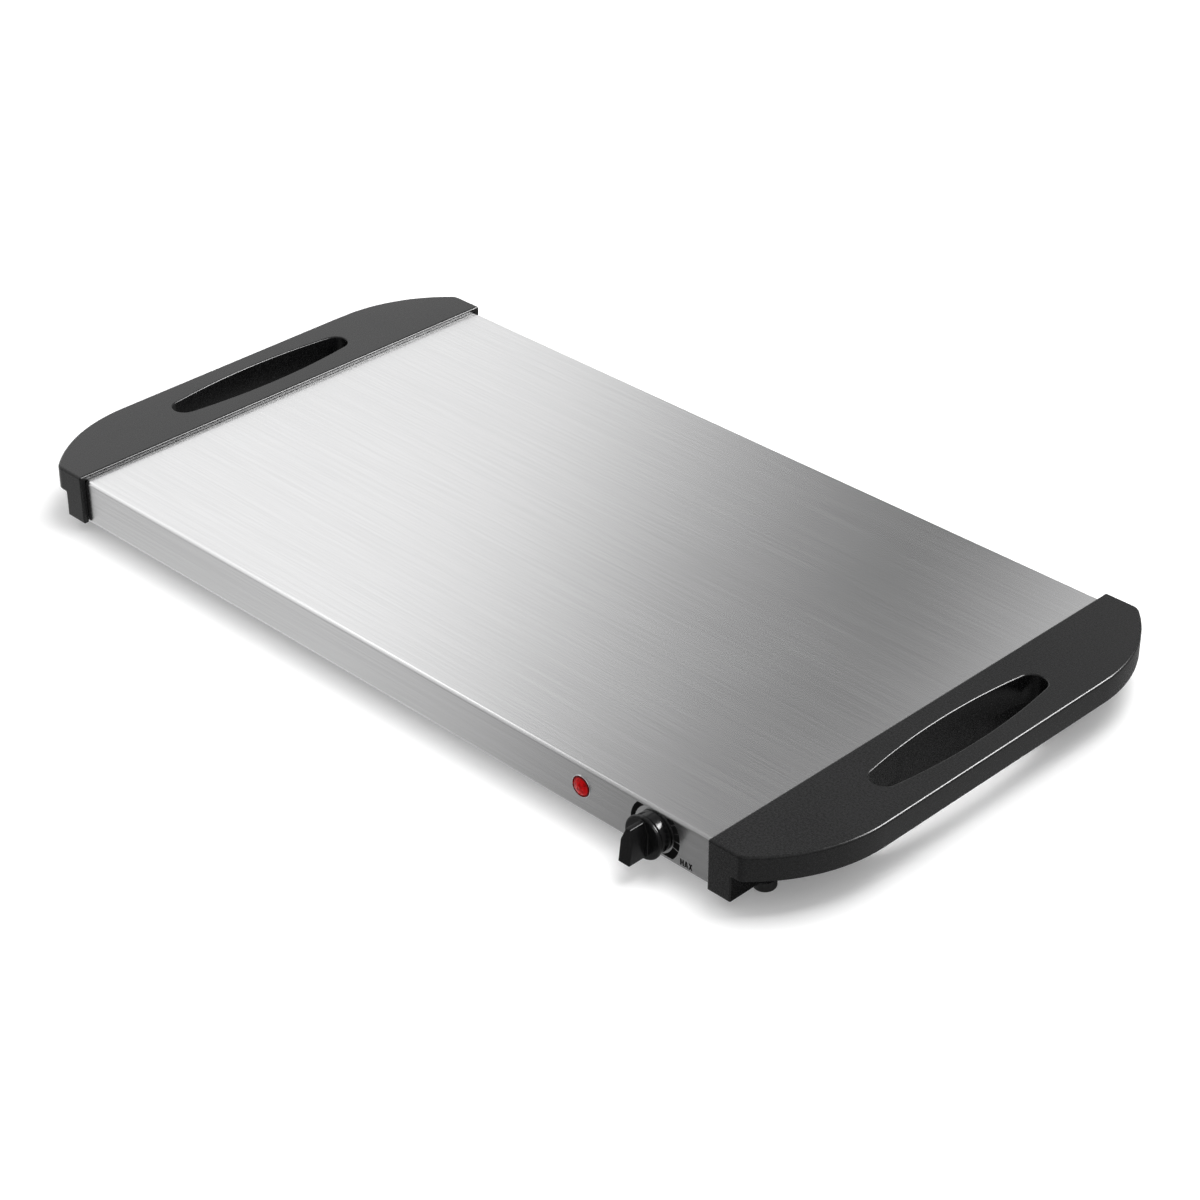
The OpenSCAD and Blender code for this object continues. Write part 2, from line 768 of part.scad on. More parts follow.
module element_beads() {
    bead_step = 0.3;
    color(ceramic) element_ends() ring(element_r - bead_step, pin_r + touch, bead_l);
}

// Flat bar under the runs, with legs between them that reach the spreader
module clip_bar(x) {
    leg_t = 1.2;
    bar_half = run_y(run_n - 1) + bend_in;
    placed() color(zinc) translate([x - clip_w / 2, 0, clip_z]) {
        translate([0, -bar_half - leg_t / 2, 0]) cube([clip_w, 2 * bar_half + leg_t, clip_t]);
        for (i = [0:run_n])
            translate([0, run_y(i) - bend_in - leg_t / 2, 0]) cube([clip_w, leg_t, spreader_z - clip_z]);
    }
}

module left_clip_bar() clip_bar(pack_mid - clip_pitch);
module middle_clip_bar() clip_bar(pack_mid);
module right_clip_bar() clip_bar(pack_mid + clip_pitch);

module insulation_board() {
    placed() color([0.92, 0.90, 0.84]) translate([pack_x0, -pack_half, base_top])
        cube([pack_x1 - pack_x0, 2 * pack_half, board_t]);
}

module reflector_foil() {
    placed() color(aluminium) translate([pack_x0, -pack_half, base_top + board_t])
        cube([pack_x1 - pack_x0, 2 * pack_half, foil_t]);
}

module on_fuse() {
    placed() translate([fuse_x, fuse_y, fuse_z]) rotate([90, 0, 0]) children();
}

module thermal_fuse() {
    fuse_pin_r = 0.6;
    color(ceramic) on_fuse() {
        translate([0, 0, -fuse_l / 2]) cylinder(h = fuse_l, r = fuse_r);
        translate([0, 0, -fuse_l / 2 - fuse_pin_l]) cylinder(h = fuse_l + 2 * fuse_pin_l, r = fuse_pin_r);
    }
}

// Saddle strap that holds the fuse up against the spreader
module fuse_clip() {
    inside = fuse_r + touch;
    outside = inside + fuse_clip_t;
    color(zinc) on_fuse() translate([0, 0, -fuse_clip_w / 2]) difference() {
        translate([-outside, -outside, 0]) cube([2 * outside, outside + inside, fuse_clip_w]);
        translate([-inside, -inside, -past]) cube([2 * inside, 3 * inside, fuse_clip_w + 2 * past]);
    }
}

// ---------- terminals and gland ----------

function pole_x(i) = block_x + (i - (pole_n - 1) / 2) * pole_pitch;

module pole_screw_places() {
    for (i = [0:pole_n - 1], sy = [-1, 1]) translate([pole_x(i), block_y + sy * block_w / 4, 0]) children();
}

module terminal_block() {
    placed() color(ceramic) difference() {
        translate([block_x - block_l / 2, block_front, base_top]) cube([block_l, block_w, block_h]);
        for (i = [0:pole_n - 1])
            translate([pole_x(i), block_front - past, pole_z]) rotate([-90, 0, 0])
                cylinder(h = block_w + 2 * past, r = pole_r);
        pole_screw_places() translate([0, 0, pole_z]) cylinder(h = block_h, r = pole_screw_r + touch);
        translate([block_x, block_y, base_top - past]) cylinder(h = block_h + 2 * past, r = screw_r + touch);
        translate([block_x, block_y, block_head_z]) cylinder(h = block_h, r = screw_head_r + touch);
    }
}

pole_screw_r = 1.6;
screw_sink = 0.5;                   // how far the screws sit below the block's top
block_head_z = base_top + block_h - screw_head_h - screw_sink;

module terminal_screws() {
    placed() color(zinc) pole_screw_places() translate([0, 0, pole_z + lead_r + touch])
        cylinder(h = base_top + block_h - screw_sink - pole_z - lead_r - touch, r = pole_screw_r);
}

module block_screw() {
    placed() color(zinc) translate([block_x, block_y, block_head_z]) mirror([0, 0, 1])
        screw_up(boss_r, block_head_z - skirt_z + past, screw_head_r, screw_head_h);
}

module earth_stud() {
    placed() color(zinc) translate([earth_x, earth_y, base_top]) {
        cylinder(h = stud_head_t, r = tag_r);
        cylinder(h = stud_l, r = stud_r);
    }
}

tag_barrel_l = 7;

module earth_tag() {
    placed() color(brass) translate([earth_x, earth_y, base_top + stud_head_t]) difference() {
        union() {
            cylinder(h = tag_t, r = tag_r);
            translate([-tag_w / 2, -tag_r - tag_barrel_l, 0]) cube([tag_w, tag_r + tag_barrel_l, tag_t]);
        }
        translate([0, 0, -past]) cylinder(h = tag_t + 2 * past, r = stud_r + touch);
    }
}

module earth_nut() {
    placed() color(zinc) translate([earth_x, earth_y, base_top + stud_head_t + tag_t])
        hex_nut(earth_nut_r, stud_r + touch, earth_nut_t);
}

module cord_gland() {
    collar_step = 0.9;
    collar_r = gland_r + collar_step;
    edge = 0.8;
    color(black_plastic) on_back(gland_x, dial_z) rotate_extrude()
        polygon([[gland_bore_r, -gland_in], [gland_r, -gland_in], [gland_r, 0], [gland_flange_r, 0],
            [gland_flange_r, gland_flange_t - edge], [gland_flange_r - edge, gland_flange_t],
            [collar_r, gland_flange_t], [collar_r, gland_reach - edge], [collar_r - edge, gland_reach],
            [gland_bore_r, gland_reach]]);
}

module gland_nut() {
    nut_wide = 3.6;
    nut_deep = 5;
    color(black_plastic) on_back(gland_x, dial_z) translate([0, 0, -sheet_t - nut_deep])
        hex_nut(gland_r + nut_wide, gland_r + touch, nut_deep);
}

// ---------- leads ----------

lead_sides = 8;
lead_steps = 4;

function past_end(p, i) = i < 0 ? 2 * p[0] - p[1]
    : i >= len(p) ? 2 * p[len(p) - 1] - p[len(p) - 2] : p[i];

// A place on the smooth curve through p, at t between points i and i + 1
function on_curve(p, i, t) = let (
    a = past_end(p, i - 1), b = past_end(p, i), c = past_end(p, i + 1), d = past_end(p, i + 2))
    (2 * b + (c - a) * t + (2 * a - 5 * b + 4 * c - d) * pow(t, 2)
        + (3 * b - a - 3 * c + d) * pow(t, 3)) / 2;

function smooth(p) = concat(
    [for (i = [0:len(p) - 2], k = [0:lead_steps - 1]) on_curve(p, i, k / lead_steps)],
    [p[len(p) - 1]]);

function heading(c, i) = unit(c[min(i + 1, len(c) - 1)] - c[max(min(i, len(c) - 1) - 1, 0)]);

function square_to(v, h) = unit(v - (v * h) * h);

// Round lead swept along a smooth curve through places p
module lead(p, tint) {
    c = smooth(p);
    n = len(c);
    sides = [for (i = 0, s = square_to([0.1, 0.2, 1], heading(c, 0)); i < n;
        i = i + 1, s = square_to(s, heading(c, i))) s];
    rings = [for (i = [0:n - 1], k = [0:lead_sides - 1])
        c[i] + lead_r * (cos(360 * k / lead_sides) * sides[i]
            + sin(360 * k / lead_sides) * cross(heading(c, i), sides[i]))];
    skin = [for (i = [0:n - 2], k = [0:lead_sides - 1]) let (
        a = i * lead_sides + k, b = i * lead_sides + (k + 1) % lead_sides)
        each [[a, a + lead_sides, b], [b, a + lead_sides, b + lead_sides]]];
    caps = [[for (k = [0:lead_sides - 1]) k],
        [for (k = [lead_sides - 1:-1:0]) (n - 1) * lead_sides + k]];
    placed() color(tint) polyhedron(rings, concat(skin, caps), convexity = 6);
}

// Ends of the leads
control_end_y = -half_w + control_back + tab_l + touch;
tab_end_z = dial_z + tab_z;
lamp_end_y = -half_w + barrel_l + touch;
front_pin = [pin_x + touch, run_y(0), element_z];
back_pin = [pin_x + touch, run_y(run_n - 1), element_z];
fuse_front = [fuse_x, fuse_y - fuse_l / 2 - fuse_pin_l - touch, fuse_z];
fuse_back = [fuse_x, fuse_y + fuse_l / 2 + fuse_pin_l + touch, fuse_z];
tag_end = [earth_x, earth_y - tag_r - tag_barrel_l - touch, base_top + stud_head_t + lead_r];

function pole_end(i) = [pole_x(i), block_front + lead_in, pole_z];
function pole_out(i) = [pole_x(i), block_front - lead_out, pole_z];
function tab_end(sx) = [dial_x + sx * tab_x, control_end_y, tab_end_z];

module live_lead() {
    side_x = end_x - 14;
    lead([tab_end(1), tab_end(1) + [0, lead_straight, 0], tab_end(1) + [2, 11, -2],
        [side_x - 6, control_end_y + 32, lane_z + 5], [side_x, -50, lane_z], [side_x + 2, 0, lane_z - 1],
        [side_x - 4, 50, lane_z], [pole_x(2) + 10, block_front - 26, lane_z + 1], pole_out(2), pole_end(2)],
        [0.45, 0.25, 0.12]);
}

module switched_lead() {
    lead([tab_end(-1), tab_end(-1) + [0, lead_straight, 0], tab_end(-1) + [-4, 11, -2],
        [dial_x - 22, control_end_y + 24, element_z - 9], [fuse_x + 27, fuse_y - 4, element_z - 11],
        [fuse_x + 15, fuse_back.y + 8, element_z - 7], fuse_back + [3, 9, -3],
        fuse_back + [0, lead_straight, 0], fuse_back], [0.08, 0.08, 0.08]);
}

module fuse_lead() {
    lead([fuse_front, fuse_front - [0, lead_straight, 0], fuse_front + [3, -10, -3],
        fuse_front + [10, -15, -5], front_pin + [9, 8, -3], front_pin + [8, 2, -1],
        front_pin + [lead_straight, 0, 0], front_pin], [0.08, 0.08, 0.08]);
}

module neutral_lead() {
    lead([back_pin, back_pin + [lead_straight, 0, 0], back_pin + [10, -2, -4], back_pin + [14, -7, -10],
        [pole_x(0) - 4, block_front - 26, lane_z + 3], pole_out(0), pole_end(0)], [0.15, 0.30, 0.60]);
}

module lamp_live_lead() {
    lead([[lamp_x + 2.5, lamp_end_y, lamp_z], [lamp_x + 2.5, lamp_end_y + lead_straight, lamp_z],
        [lamp_x + 8, lamp_end_y + 9, lamp_z + 0.5],
        [lamp_x + 24, lamp_end_y + 14, lamp_z], [dial_x - 20, control_end_y + 8, tab_end_z - 2],
        [dial_x - tab_x - 4.5, control_end_y + 1, tab_end_z - 1],
        [dial_x - tab_x - tab_t / 2 - lead_r - touch, control_end_y - 5, tab_end_z]], [0.08, 0.08, 0.08]);
}

module lamp_neutral_lead() {
    lane_x = pack_x1 + 14;
    corner = [pack_x1, -pack_half, lane_z];
    lead([[lamp_x - 2.5, lamp_end_y, lamp_z], [lamp_x - 2.5, lamp_end_y + lead_straight, lamp_z],
        [lamp_x + 3, lamp_end_y + 7.5, lamp_z - 4], corner + [2, -3.5, 3], corner + [12, 11, 0],
        [lane_x, -60, lane_z - 2], [lane_x + 2, 0, lane_z - 2],
        [lane_x + 3, 60, lane_z - 2], [pole_x(1) - 2, block_front - 26, lane_z - 1], pole_out(1), pole_end(1)],
        [0.15, 0.30, 0.60]);
}

module earth_lead() {
    lead([pole_end(3), pole_out(3), [pole_x(3) + 9, block_front - 19, lane_z],
        [earth_x - 3, block_front - 12, lane_z - 1], tag_end - [0, 7, -0.5], tag_end], [0.25, 0.50, 0.15]);
}

// ---------- nodes ----------

top_plate();
base_plate();
left_handle();
right_handle();
front_left_foot();
front_right_foot();
back_left_foot();
back_right_foot();
foot_screws();
handle_screws();
base_screws();
knob();
control_shaft();
control_bushing();
control_nut();
control_plate();
control_body();
control_tabs();
lamp_lens();
lamp_ring();
lamp_barrel();
lamp_clip();
heat_spreader();
heating_element();
element_pins();
element_beads();
left_clip_bar();
middle_clip_bar();
right_clip_bar();
insulation_board();
reflector_foil();
thermal_fuse();
fuse_clip();
terminal_block();
terminal_screws();
block_screw();
earth_stud();
earth_tag();
earth_nut();
cord_gland();
gland_nut();
live_lead();
switched_lead();
fuse_lead();
neutral_lead();
lamp_live_lead();
lamp_neutral_lead();
earth_lead();
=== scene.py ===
"""Looks of the electric food warmer tray.

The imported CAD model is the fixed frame. This script gives each of its pieces a
finish, rounds the edges that the mould and the press round, cuts the screws'
recesses, prints the dial's scale and stands the tray on a pale studio floor.
Every length is in metres, in the frame's own axes.
"""

import logging
import math
from dataclasses import dataclass, field
from enum import Enum
from typing import Any, Callable, Optional, Sequence, Union

import bmesh
import bpy
from mathutils import Matrix, Vector


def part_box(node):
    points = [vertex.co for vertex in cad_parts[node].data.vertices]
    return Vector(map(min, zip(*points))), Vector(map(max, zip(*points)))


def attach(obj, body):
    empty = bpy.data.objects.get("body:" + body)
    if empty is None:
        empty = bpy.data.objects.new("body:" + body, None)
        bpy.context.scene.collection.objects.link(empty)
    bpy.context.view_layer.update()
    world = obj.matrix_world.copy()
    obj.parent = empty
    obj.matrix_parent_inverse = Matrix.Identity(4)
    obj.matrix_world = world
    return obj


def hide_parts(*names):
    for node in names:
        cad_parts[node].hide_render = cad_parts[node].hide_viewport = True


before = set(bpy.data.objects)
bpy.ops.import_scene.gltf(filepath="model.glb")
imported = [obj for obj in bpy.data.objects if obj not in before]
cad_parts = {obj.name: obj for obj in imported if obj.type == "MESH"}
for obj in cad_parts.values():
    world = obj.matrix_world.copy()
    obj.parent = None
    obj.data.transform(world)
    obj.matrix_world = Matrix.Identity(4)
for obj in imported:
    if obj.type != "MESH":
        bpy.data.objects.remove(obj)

LOG = logging.getLogger("warmer_tray")
MM = 0.001
Colour = tuple[float, float, float]
Point = tuple[float, float, float]
Outline = list[tuple[float, float]]
Steps = tuple[tuple[float, float], ...]


class Body(Enum):
    """The bodies of the frame that pieces ride on."""

    TRAY = "tray"
    KNOB = "dial_knob"


class Slot(Enum):
    """The record's material slots."""

    STAINLESS = "stainless_steel"
    ZINC = "zinc_steel"
    HANDLE = "handle_plastic"
    KNOB = "knob_plastic"
    FOOT = "foot_rubber"
    SCREW = "screw_steel"
    BRASS = "brass"
    CERAMIC = "ceramic"
    LENS = "red_lens"
    NYLON = "black_nylon"
    ALUMINIUM = "aluminium_sheet"
    SHEATH = "element_sheath"
    BOARD = "fibre_board"
    BROWN_LEAD = "brown_lead"
    BLACK_LEAD = "black_lead"
    BLUE_LEAD = "blue_lead"
    GREEN_LEAD = "green_lead"


class Side(Enum):
    """The two ends of the tray, as signs along X."""

    LEFT = -1
    RIGHT = 1


class Glow(Enum):
    """What a softbox lights."""

    SOFT_LIGHT = "soft light"
    HIGHLIGHTS = "highlights"


# ---------- shader nodes ----------


class Wire:
    """A number from one node's output, on which finishes write their maths."""

    def __init__(self, sheet: "NodeSheet", socket: bpy.types.NodeSocket) -> None:
        """Keeps the socket and the sheet that it is on."""
        self.sheet = sheet
        self.socket = socket

    def _math(self, operation: str, first: "Number", second: "Number") -> "Wire":
        """Returns the result of a Math node on two values."""
        return self.sheet.add("ShaderNodeMath", {"operation": operation}, {0: first, 1: second})

    def __add__(self, other: "Number") -> "Wire":
        """Returns self + other."""
        return self._math("ADD", self, other)

    def __radd__(self, other: "Number") -> "Wire":
        """Returns other + self."""
        return self._math("ADD", other, self)

    def __sub__(self, other: "Number") -> "Wire":
        """Returns self - other."""
        return self._math("SUBTRACT", self, other)

    def __rsub__(self, other: "Number") -> "Wire":
        """Returns other - self."""
        return self._math("SUBTRACT", other, self)

    def __mul__(self, other: "Number") -> "Wire":
        """Returns self * other."""
        return self._math("MULTIPLY", self, other)

    def __rmul__(self, other: "Number") -> "Wire":
        """Returns other * self."""
        return self._math("MULTIPLY", other, self)


Number = Union[Wire, float]


class NodeSheet:
    """The node tree of one material, or of the studio's room."""

    def __init__(self, owner: Union[bpy.types.Material, bpy.types.World]) -> None:
        """Empties the owner's node tree.

        Args:
            owner: The material or room.
        """
        owner.use_nodes = True
        self.tree = owner.node_tree
        self.tree.nodes.clear()

    def add(
        self,
        kind: str,
        settings: Optional[dict[str, Any]] = None,
        sockets: Optional[dict[Union[int, str], Any]] = None,
        output: Union[int, str] = 0,
    ) -> Wire:
        """Adds a node.

        Args:
            kind: The node's type.
            settings: Its own settings, and "stops" for a colour ramp.
            sockets: A value or a Wire for each input that isn't left alone.
            output: The output that is wanted.

        Returns:
            That output.
        """
        made = self.tree.nodes.new(kind)
        for key, value in (settings or {}).items():
            if key == "stops":
                self._set_stops(made.color_ramp, value)
            else:
                setattr(made, key, value)
        for key, value in (sockets or {}).items():
            if isinstance(value, Wire):
                self.tree.links.new(value.socket, made.inputs[key])
            else:
                made.inputs[key].default_value = value
        return Wire(self, made.outputs[output] if made.outputs else None)

    @staticmethod
    def _set_stops(ramp: bpy.types.ColorRamp, stops: Sequence[tuple[float, Colour]]) -> None:
        """Gives a colour ramp its stops.

        Args:
            ramp: The ramp.
            stops: The place and the colour of each stop.
        """
        while len(ramp.elements) < len(stops):
            ramp.elements.new(1.0)
        for element, (place, colour) in zip(ramp.elements, stops):
            element.position = place
            element.color = (*colour, 1.0)

    def place(self) -> Wire:
        """Returns the point in the frame's own axes."""
        return self.add("ShaderNodeTexCoord", output="Object")

    def scaled(self, point: Wire, factors: Sequence[float]) -> Wire:
        """Returns the point with each axis times its factor."""
        return self.add("ShaderNodeVectorMath", {"operation": "MULTIPLY"}, {0: point, 1: tuple(factors)})

    def noise(self, point: Wire, detail: float, scale: float = 1.0) -> Wire:
        """Returns smooth noise from 0 to 1 at the point."""
        return self.add("ShaderNodeTexNoise", None, {"Vector": point, "Scale": scale, "Detail": detail})

    def cells(self, point: Wire, scale: float) -> Wire:
        """Returns the distance to the nearest of scattered points."""
        return self.add("ShaderNodeTexVoronoi", None, {"Vector": point, "Scale": scale}, "Distance")

    def tint(self, factor: Number, tone: Colour, low: float, high: float) -> Wire:
        """Returns the tone times low where factor is 0 and times high where it is 1."""
        ends = {6: (*shade(tone, low), 1.0), 7: (*shade(tone, high), 1.0)}
        return self.add("ShaderNodeMix", {"data_type": "RGBA"}, {0: factor, **ends}, 2)

    def smooth_step(self, value: Number, rise: tuple[float, float]) -> Wire:
        """Returns 0 below the rise and 1 above it, with a smooth change between."""
        ends = {"From Min": rise[0], "From Max": rise[1]}
        return self.add(
            "ShaderNodeMapRange", {"interpolation_type": "SMOOTHSTEP"}, {"Value": value, **ends}
        )

    def bump(self, height: Number, depth: float) -> Wire:
        """Returns a normal for relief of that depth in metres."""
        return self.add("ShaderNodeBump", None, {"Height": height, "Distance": depth})

    def surface(self, sockets: dict[str, Any]) -> None:
        """Ends the tree with the Principled shader and its sockets."""
        shader = self.add("ShaderNodeBsdfPrincipled", None, sockets)
        self.add("ShaderNodeOutputMaterial", None, {"Surface": shader})


def shade(colour: Colour, factor: float) -> Colour:
    """Returns the colour, lighter or darker by factor."""
    return tuple(min(1.0, channel * factor) for channel in colour)


# ---------- finishes ----------


@dataclass(frozen=True)
class Finish:
    """The look of one kind of surface.

    Attributes:
        name: The material's name.
        slot: The record's slot that it stands for, or None; not used.
        tone: Its base colour.
        roughness: Its mean roughness.
    """

    name: str
    slot: Optional[Slot]
    tone: Colour
    roughness: float

    def material(self) -> bpy.types.Material:
        """Makes the material at its first use.

        Returns:
            The material.
        """
        found = bpy.data.materials.get(self.name)
        if found is None:
            found = bpy.data.materials.new(self.name)
            self.paint(NodeSheet(found))
        return found

    def paint(self, sheet: NodeSheet) -> None:
        """Draws the finish's nodes on a sheet."""
        raise NotImplementedError


@dataclass(frozen=True)
class BrushedSheet(Finish):
    """Sheet metal brushed or rolled along X: two widths of brush mark over slow clouds of tone.

    Attributes:
        stretch: How much longer than wide the fine brush marks are.
        mark: Width of the finest brush mark.
        swing: How much the marks change the tone.
        unevenness: How much the marks and the clouds change the roughness.
        anisotropy: How far the marks spread a reflection across them.
        relief: Depth of the marks.
    """

    stretch: float = 90.0
    mark: float = 0.8 * MM
    swing: float = 0.036
    unevenness: float = 0.04
    anisotropy: float = 0.0
    relief: float = 0.001 * MM

    # The wide marks against the fine ones, in width and in length.
    WIDER, LONGER = 3, 4
    WIDE_SHARE = 0.3
    CONTRAST = (0.36, 0.64)
    CLOUD_SCALE = 9.0
    CLOUD_SHARE = 0.1

    def paint(self, sheet: NodeSheet) -> None:
        """Draws the finish's nodes.

        Args:
            sheet: The sheet that they go on.
        """
        place = sheet.place()
        across = 1.0 / self.mark
        along = across / self.stretch
        wide_axes = (along / self.LONGER, across / self.WIDER, across / self.WIDER)
        fine = sheet.noise(sheet.scaled(place, (along, across, across)), detail=1.5)
        wide = sheet.noise(sheet.scaled(place, wide_axes), detail=1.0)
        clouds = sheet.noise(place, detail=1.0, scale=self.CLOUD_SCALE)
        marks = fine * (1 - self.WIDE_SHARE) + wide * self.WIDE_SHARE
        tone = sheet.smooth_step(marks, self.CONTRAST) * (1 - self.CLOUD_SHARE) + clouds * self.CLOUD_SHARE
        sheet.surface(
            {
                "Base Color": sheet.tint(tone, self.tone, 1 - self.swing, 1 + self.swing),
                "Metallic": 1.0,
                "Roughness": self.roughness + (marks + clouds - 1.0) * self.unevenness,
                "Anisotropic": self.anisotropy,
                "Anisotropic Rotation": 0.25,
                "Normal": sheet.bump(marks, self.relief),
            }
        )


@dataclass(frozen=True)
class Plated(Finish):
    """Turned or pressed metal with a plated skin: a fine grain with dull spots.

    Attributes:
        grain: Size of the plating's grain.
        relief: Depth of the grain.
    """

    grain: float = 0.6 * MM
    relief: float = 0.01 * MM

    SPOTS_PER_GRAIN = 0.12
    SPOT_RISE = (0.45, 0.75)
    SPOT_TONE = 0.8
    SPOT_ROUGHNESS = 0.12
    GRAIN_ROUGHNESS = 0.1

    def paint(self, sheet: NodeSheet) -> None:
        """Draws the finish's nodes.

        Args:
            sheet: The sheet that they go on.
        """
        place = sheet.place()
        grain = sheet.noise(place, detail=3.0, scale=1.0 / self.grain)
        spots = sheet.noise(place, detail=2.0, scale=self.SPOTS_PER_GRAIN / self.grain)
        dull = sheet.smooth_step(spots, self.SPOT_RISE)
        rough = self.roughness + dull * self.SPOT_ROUGHNESS + (grain - 0.5) * self.GRAIN_ROUGHNESS
        sheet.surface(
            {
                "Base Color": sheet.tint(dull, self.tone, 1.0, self.SPOT_TONE),
                "Metallic": 1.0,
                "Roughness": rough,
                "Normal": sheet.bump(grain, self.relief),
            }
        )


@dataclass(frozen=True)
class Moulded(Finish):
    """Moulded plastic or rubber: the mould's texture, with slow clouds where hands polish it.

    Attributes:
        grain: Size of the texture that the mould leaves.
        relief: Depth of that texture.
        mottle: How much the texture lightens the tone.
        gloss: Strength of the reflection at a right angle.
    """

    grain: float = 0.7 * MM
    relief: float = 0.05 * MM
    mottle: float = 0.25
    gloss: float = 0.5

    PIT_RISE = (0.3, 0.7)
    PIT_ROUGHNESS = 0.25
    CLOUD_SCALE = 14.0
    CLOUD_SHARE = 0.3
    CLOUD_ROUGHNESS = 0.1

    def paint(self, sheet: NodeSheet) -> None:
        """Draws the finish's nodes.

        Args:
            sheet: The sheet that they go on.
        """
        place = sheet.place()
        pits = sheet.noise(place, detail=3.0, scale=1.0 / self.grain)
        clouds = sheet.noise(place, detail=2.0, scale=self.CLOUD_SCALE)
        tone = sheet.smooth_step(pits, self.PIT_RISE) * (1 - self.CLOUD_SHARE) + clouds * self.CLOUD_SHARE
        rough = self.roughness + (clouds - 0.5) * self.CLOUD_ROUGHNESS + (pits - 0.5) * self.PIT_ROUGHNESS
        sheet.surface(
            {
                "Base Color": sheet.tint(tone, self.tone, 1 - self.mottle, 1 + self.mottle),
                "Roughness": rough,
                "Specular IOR Level": self.gloss,
                "Normal": sheet.bump(pits, self.relief),
            }
        )


@dataclass(frozen=True)
class Fired(Finish):
    """Unglazed ceramic or mineral board: grains or fibres with darker pores.

    Attributes:
        grain: Size of its grains or fibres.
        stretch: How much longer than wide the fibres are.
        relief: Depth of the grain.
    """

    grain: float = 0.9 * MM
    stretch: float = 1.0
    relief: float = 0.06 * MM

    PORES_PER_GRAIN = 0.6
    PORE_RISE = (0.0, 0.35)
    PORE_SHARE = 0.4
    DARKEST, LIGHTEST = 0.78, 1.06
    FIBRE_ROUGHNESS = 0.1

    def paint(self, sheet: NodeSheet) -> None:
        """Draws the finish's nodes.

        Args:
            sheet: The sheet that they go on.
        """
        place = sheet.place()
        across = 1.0 / self.grain
        fibres = sheet.noise(sheet.scaled(place, (across / self.stretch, across, across)), detail=4.0)
        pores = sheet.smooth_step(sheet.cells(place, across * self.PORES_PER_GRAIN), self.PORE_RISE)
        tone = fibres * (1 - self.PORE_SHARE) + pores * self.PORE_SHARE
        sheet.surface(
            {
                "Base Color": sheet.tint(tone, self.tone, self.DARKEST, self.LIGHTEST),
                "Roughness": self.roughness + (0.5 - fibres) * self.FIBRE_ROUGHNESS,
                "Normal": sheet.bump(tone, self.relief),
            }
        )


@dataclass(frozen=True)
class LampLens(Finish):
    """Clear red moulding over a lit reflector: its glow is painted into the base colour, bright in the
    middle and broken up by the facets, with painted shade on the rim.

    Attributes:
        centre: The lens's middle on the panel.
        rim: Distance from the middle at which the painted shade of the dark rim starts.
        glow: Strength of the light that the reflector sends back.
    """

    centre: Point = (0.0, 0.0, 0.0)
    rim: float = 5.0 * MM
    glow: float = 0.07

    BLUR_IN, BLUR_OUT = 0.5 * MM, 0.4 * MM
    FACET = 1.9 * MM
    FACET_RELIEF = 0.25 * MM
    FACET_ROUGHNESS = 0.06
    # Painted glow in the base colour, least in the middle and more on each facet, and the painted shade of
    # the rim as a share of the tone.
    LEAST_LIGHT, FACET_LIGHT = 0.2, 1.3
    PAINTED_RIM_SHADE = 0.22

    def paint(self, sheet: NodeSheet) -> None:
        """Draws the finish's nodes.

        Args:
            sheet: The sheet that they go on.
        """
        vector_maths = "ShaderNodeVectorMath"
        centred = sheet.add(vector_maths, {"operation": "SUBTRACT"}, {0: sheet.place(), 1: self.centre})
        flat = sheet.scaled(centred, (1.0, 0.0, 1.0))
        reach = sheet.add(vector_maths, {"operation": "LENGTH"}, {0: flat}, "Value")
        rim = sheet.smooth_step(reach, (self.rim - self.BLUR_IN, self.rim + self.BLUR_OUT))
        facets = sheet.cells(flat, 1 / self.FACET)
        # Painted light: the lamp's glow painted into the base colour, broken up by the facets, with painted
        # shade over the rim.
        bright = (1 - rim) * (self.LEAST_LIGHT + facets * self.FACET_LIGHT)
        sheet.surface(
            {
                "Base Color": sheet.tint(bright, self.tone, self.PAINTED_RIM_SHADE, 1.0),
                "Roughness": self.roughness + facets * self.FACET_ROUGHNESS,
                "Specular IOR Level": 0.1,
                "Coat Weight": 0.06,
                "Coat Roughness": 0.04,
                "Emission Color": sheet.tint(bright, self.tone, 0.0, 1.0),
                "Emission Strength": self.glow,
                "Normal": sheet.bump(facets, self.FACET_RELIEF),
            }
        )


@dataclass(frozen=True)
class Print(Finish):
    """Ink printed on the panel, which lets the brush marks through a little.

    Attributes:
        gloss: Strength of the reflection at a right angle.
    """

    gloss: float = 0.0

    MARKS_PER_METRE = (40.0, 2200.0, 2200.0)
    DARKEST, LIGHTEST = 0.7, 1.5
    MARK_ROUGHNESS = 0.2
    RELIEF = 0.01 * MM

    def paint(self, sheet: NodeSheet) -> None:
        """Draws the finish's nodes.

        Args:
            sheet: The sheet that they go on.
        """
        marks = sheet.noise(sheet.scaled(sheet.place(), self.MARKS_PER_METRE), detail=2.0)
        sheet.surface(
            {
                "Base Color": sheet.tint(marks, self.tone, self.DARKEST, self.LIGHTEST),
                "Roughness": self.roughness + (marks - 0.5) * self.MARK_ROUGHNESS,
                "Specular IOR Level": self.gloss,
                "Normal": sheet.bump(marks, self.RELIEF),
            }
        )


JET_BLACK: Colour = (0.005, 0.005, 0.0053)

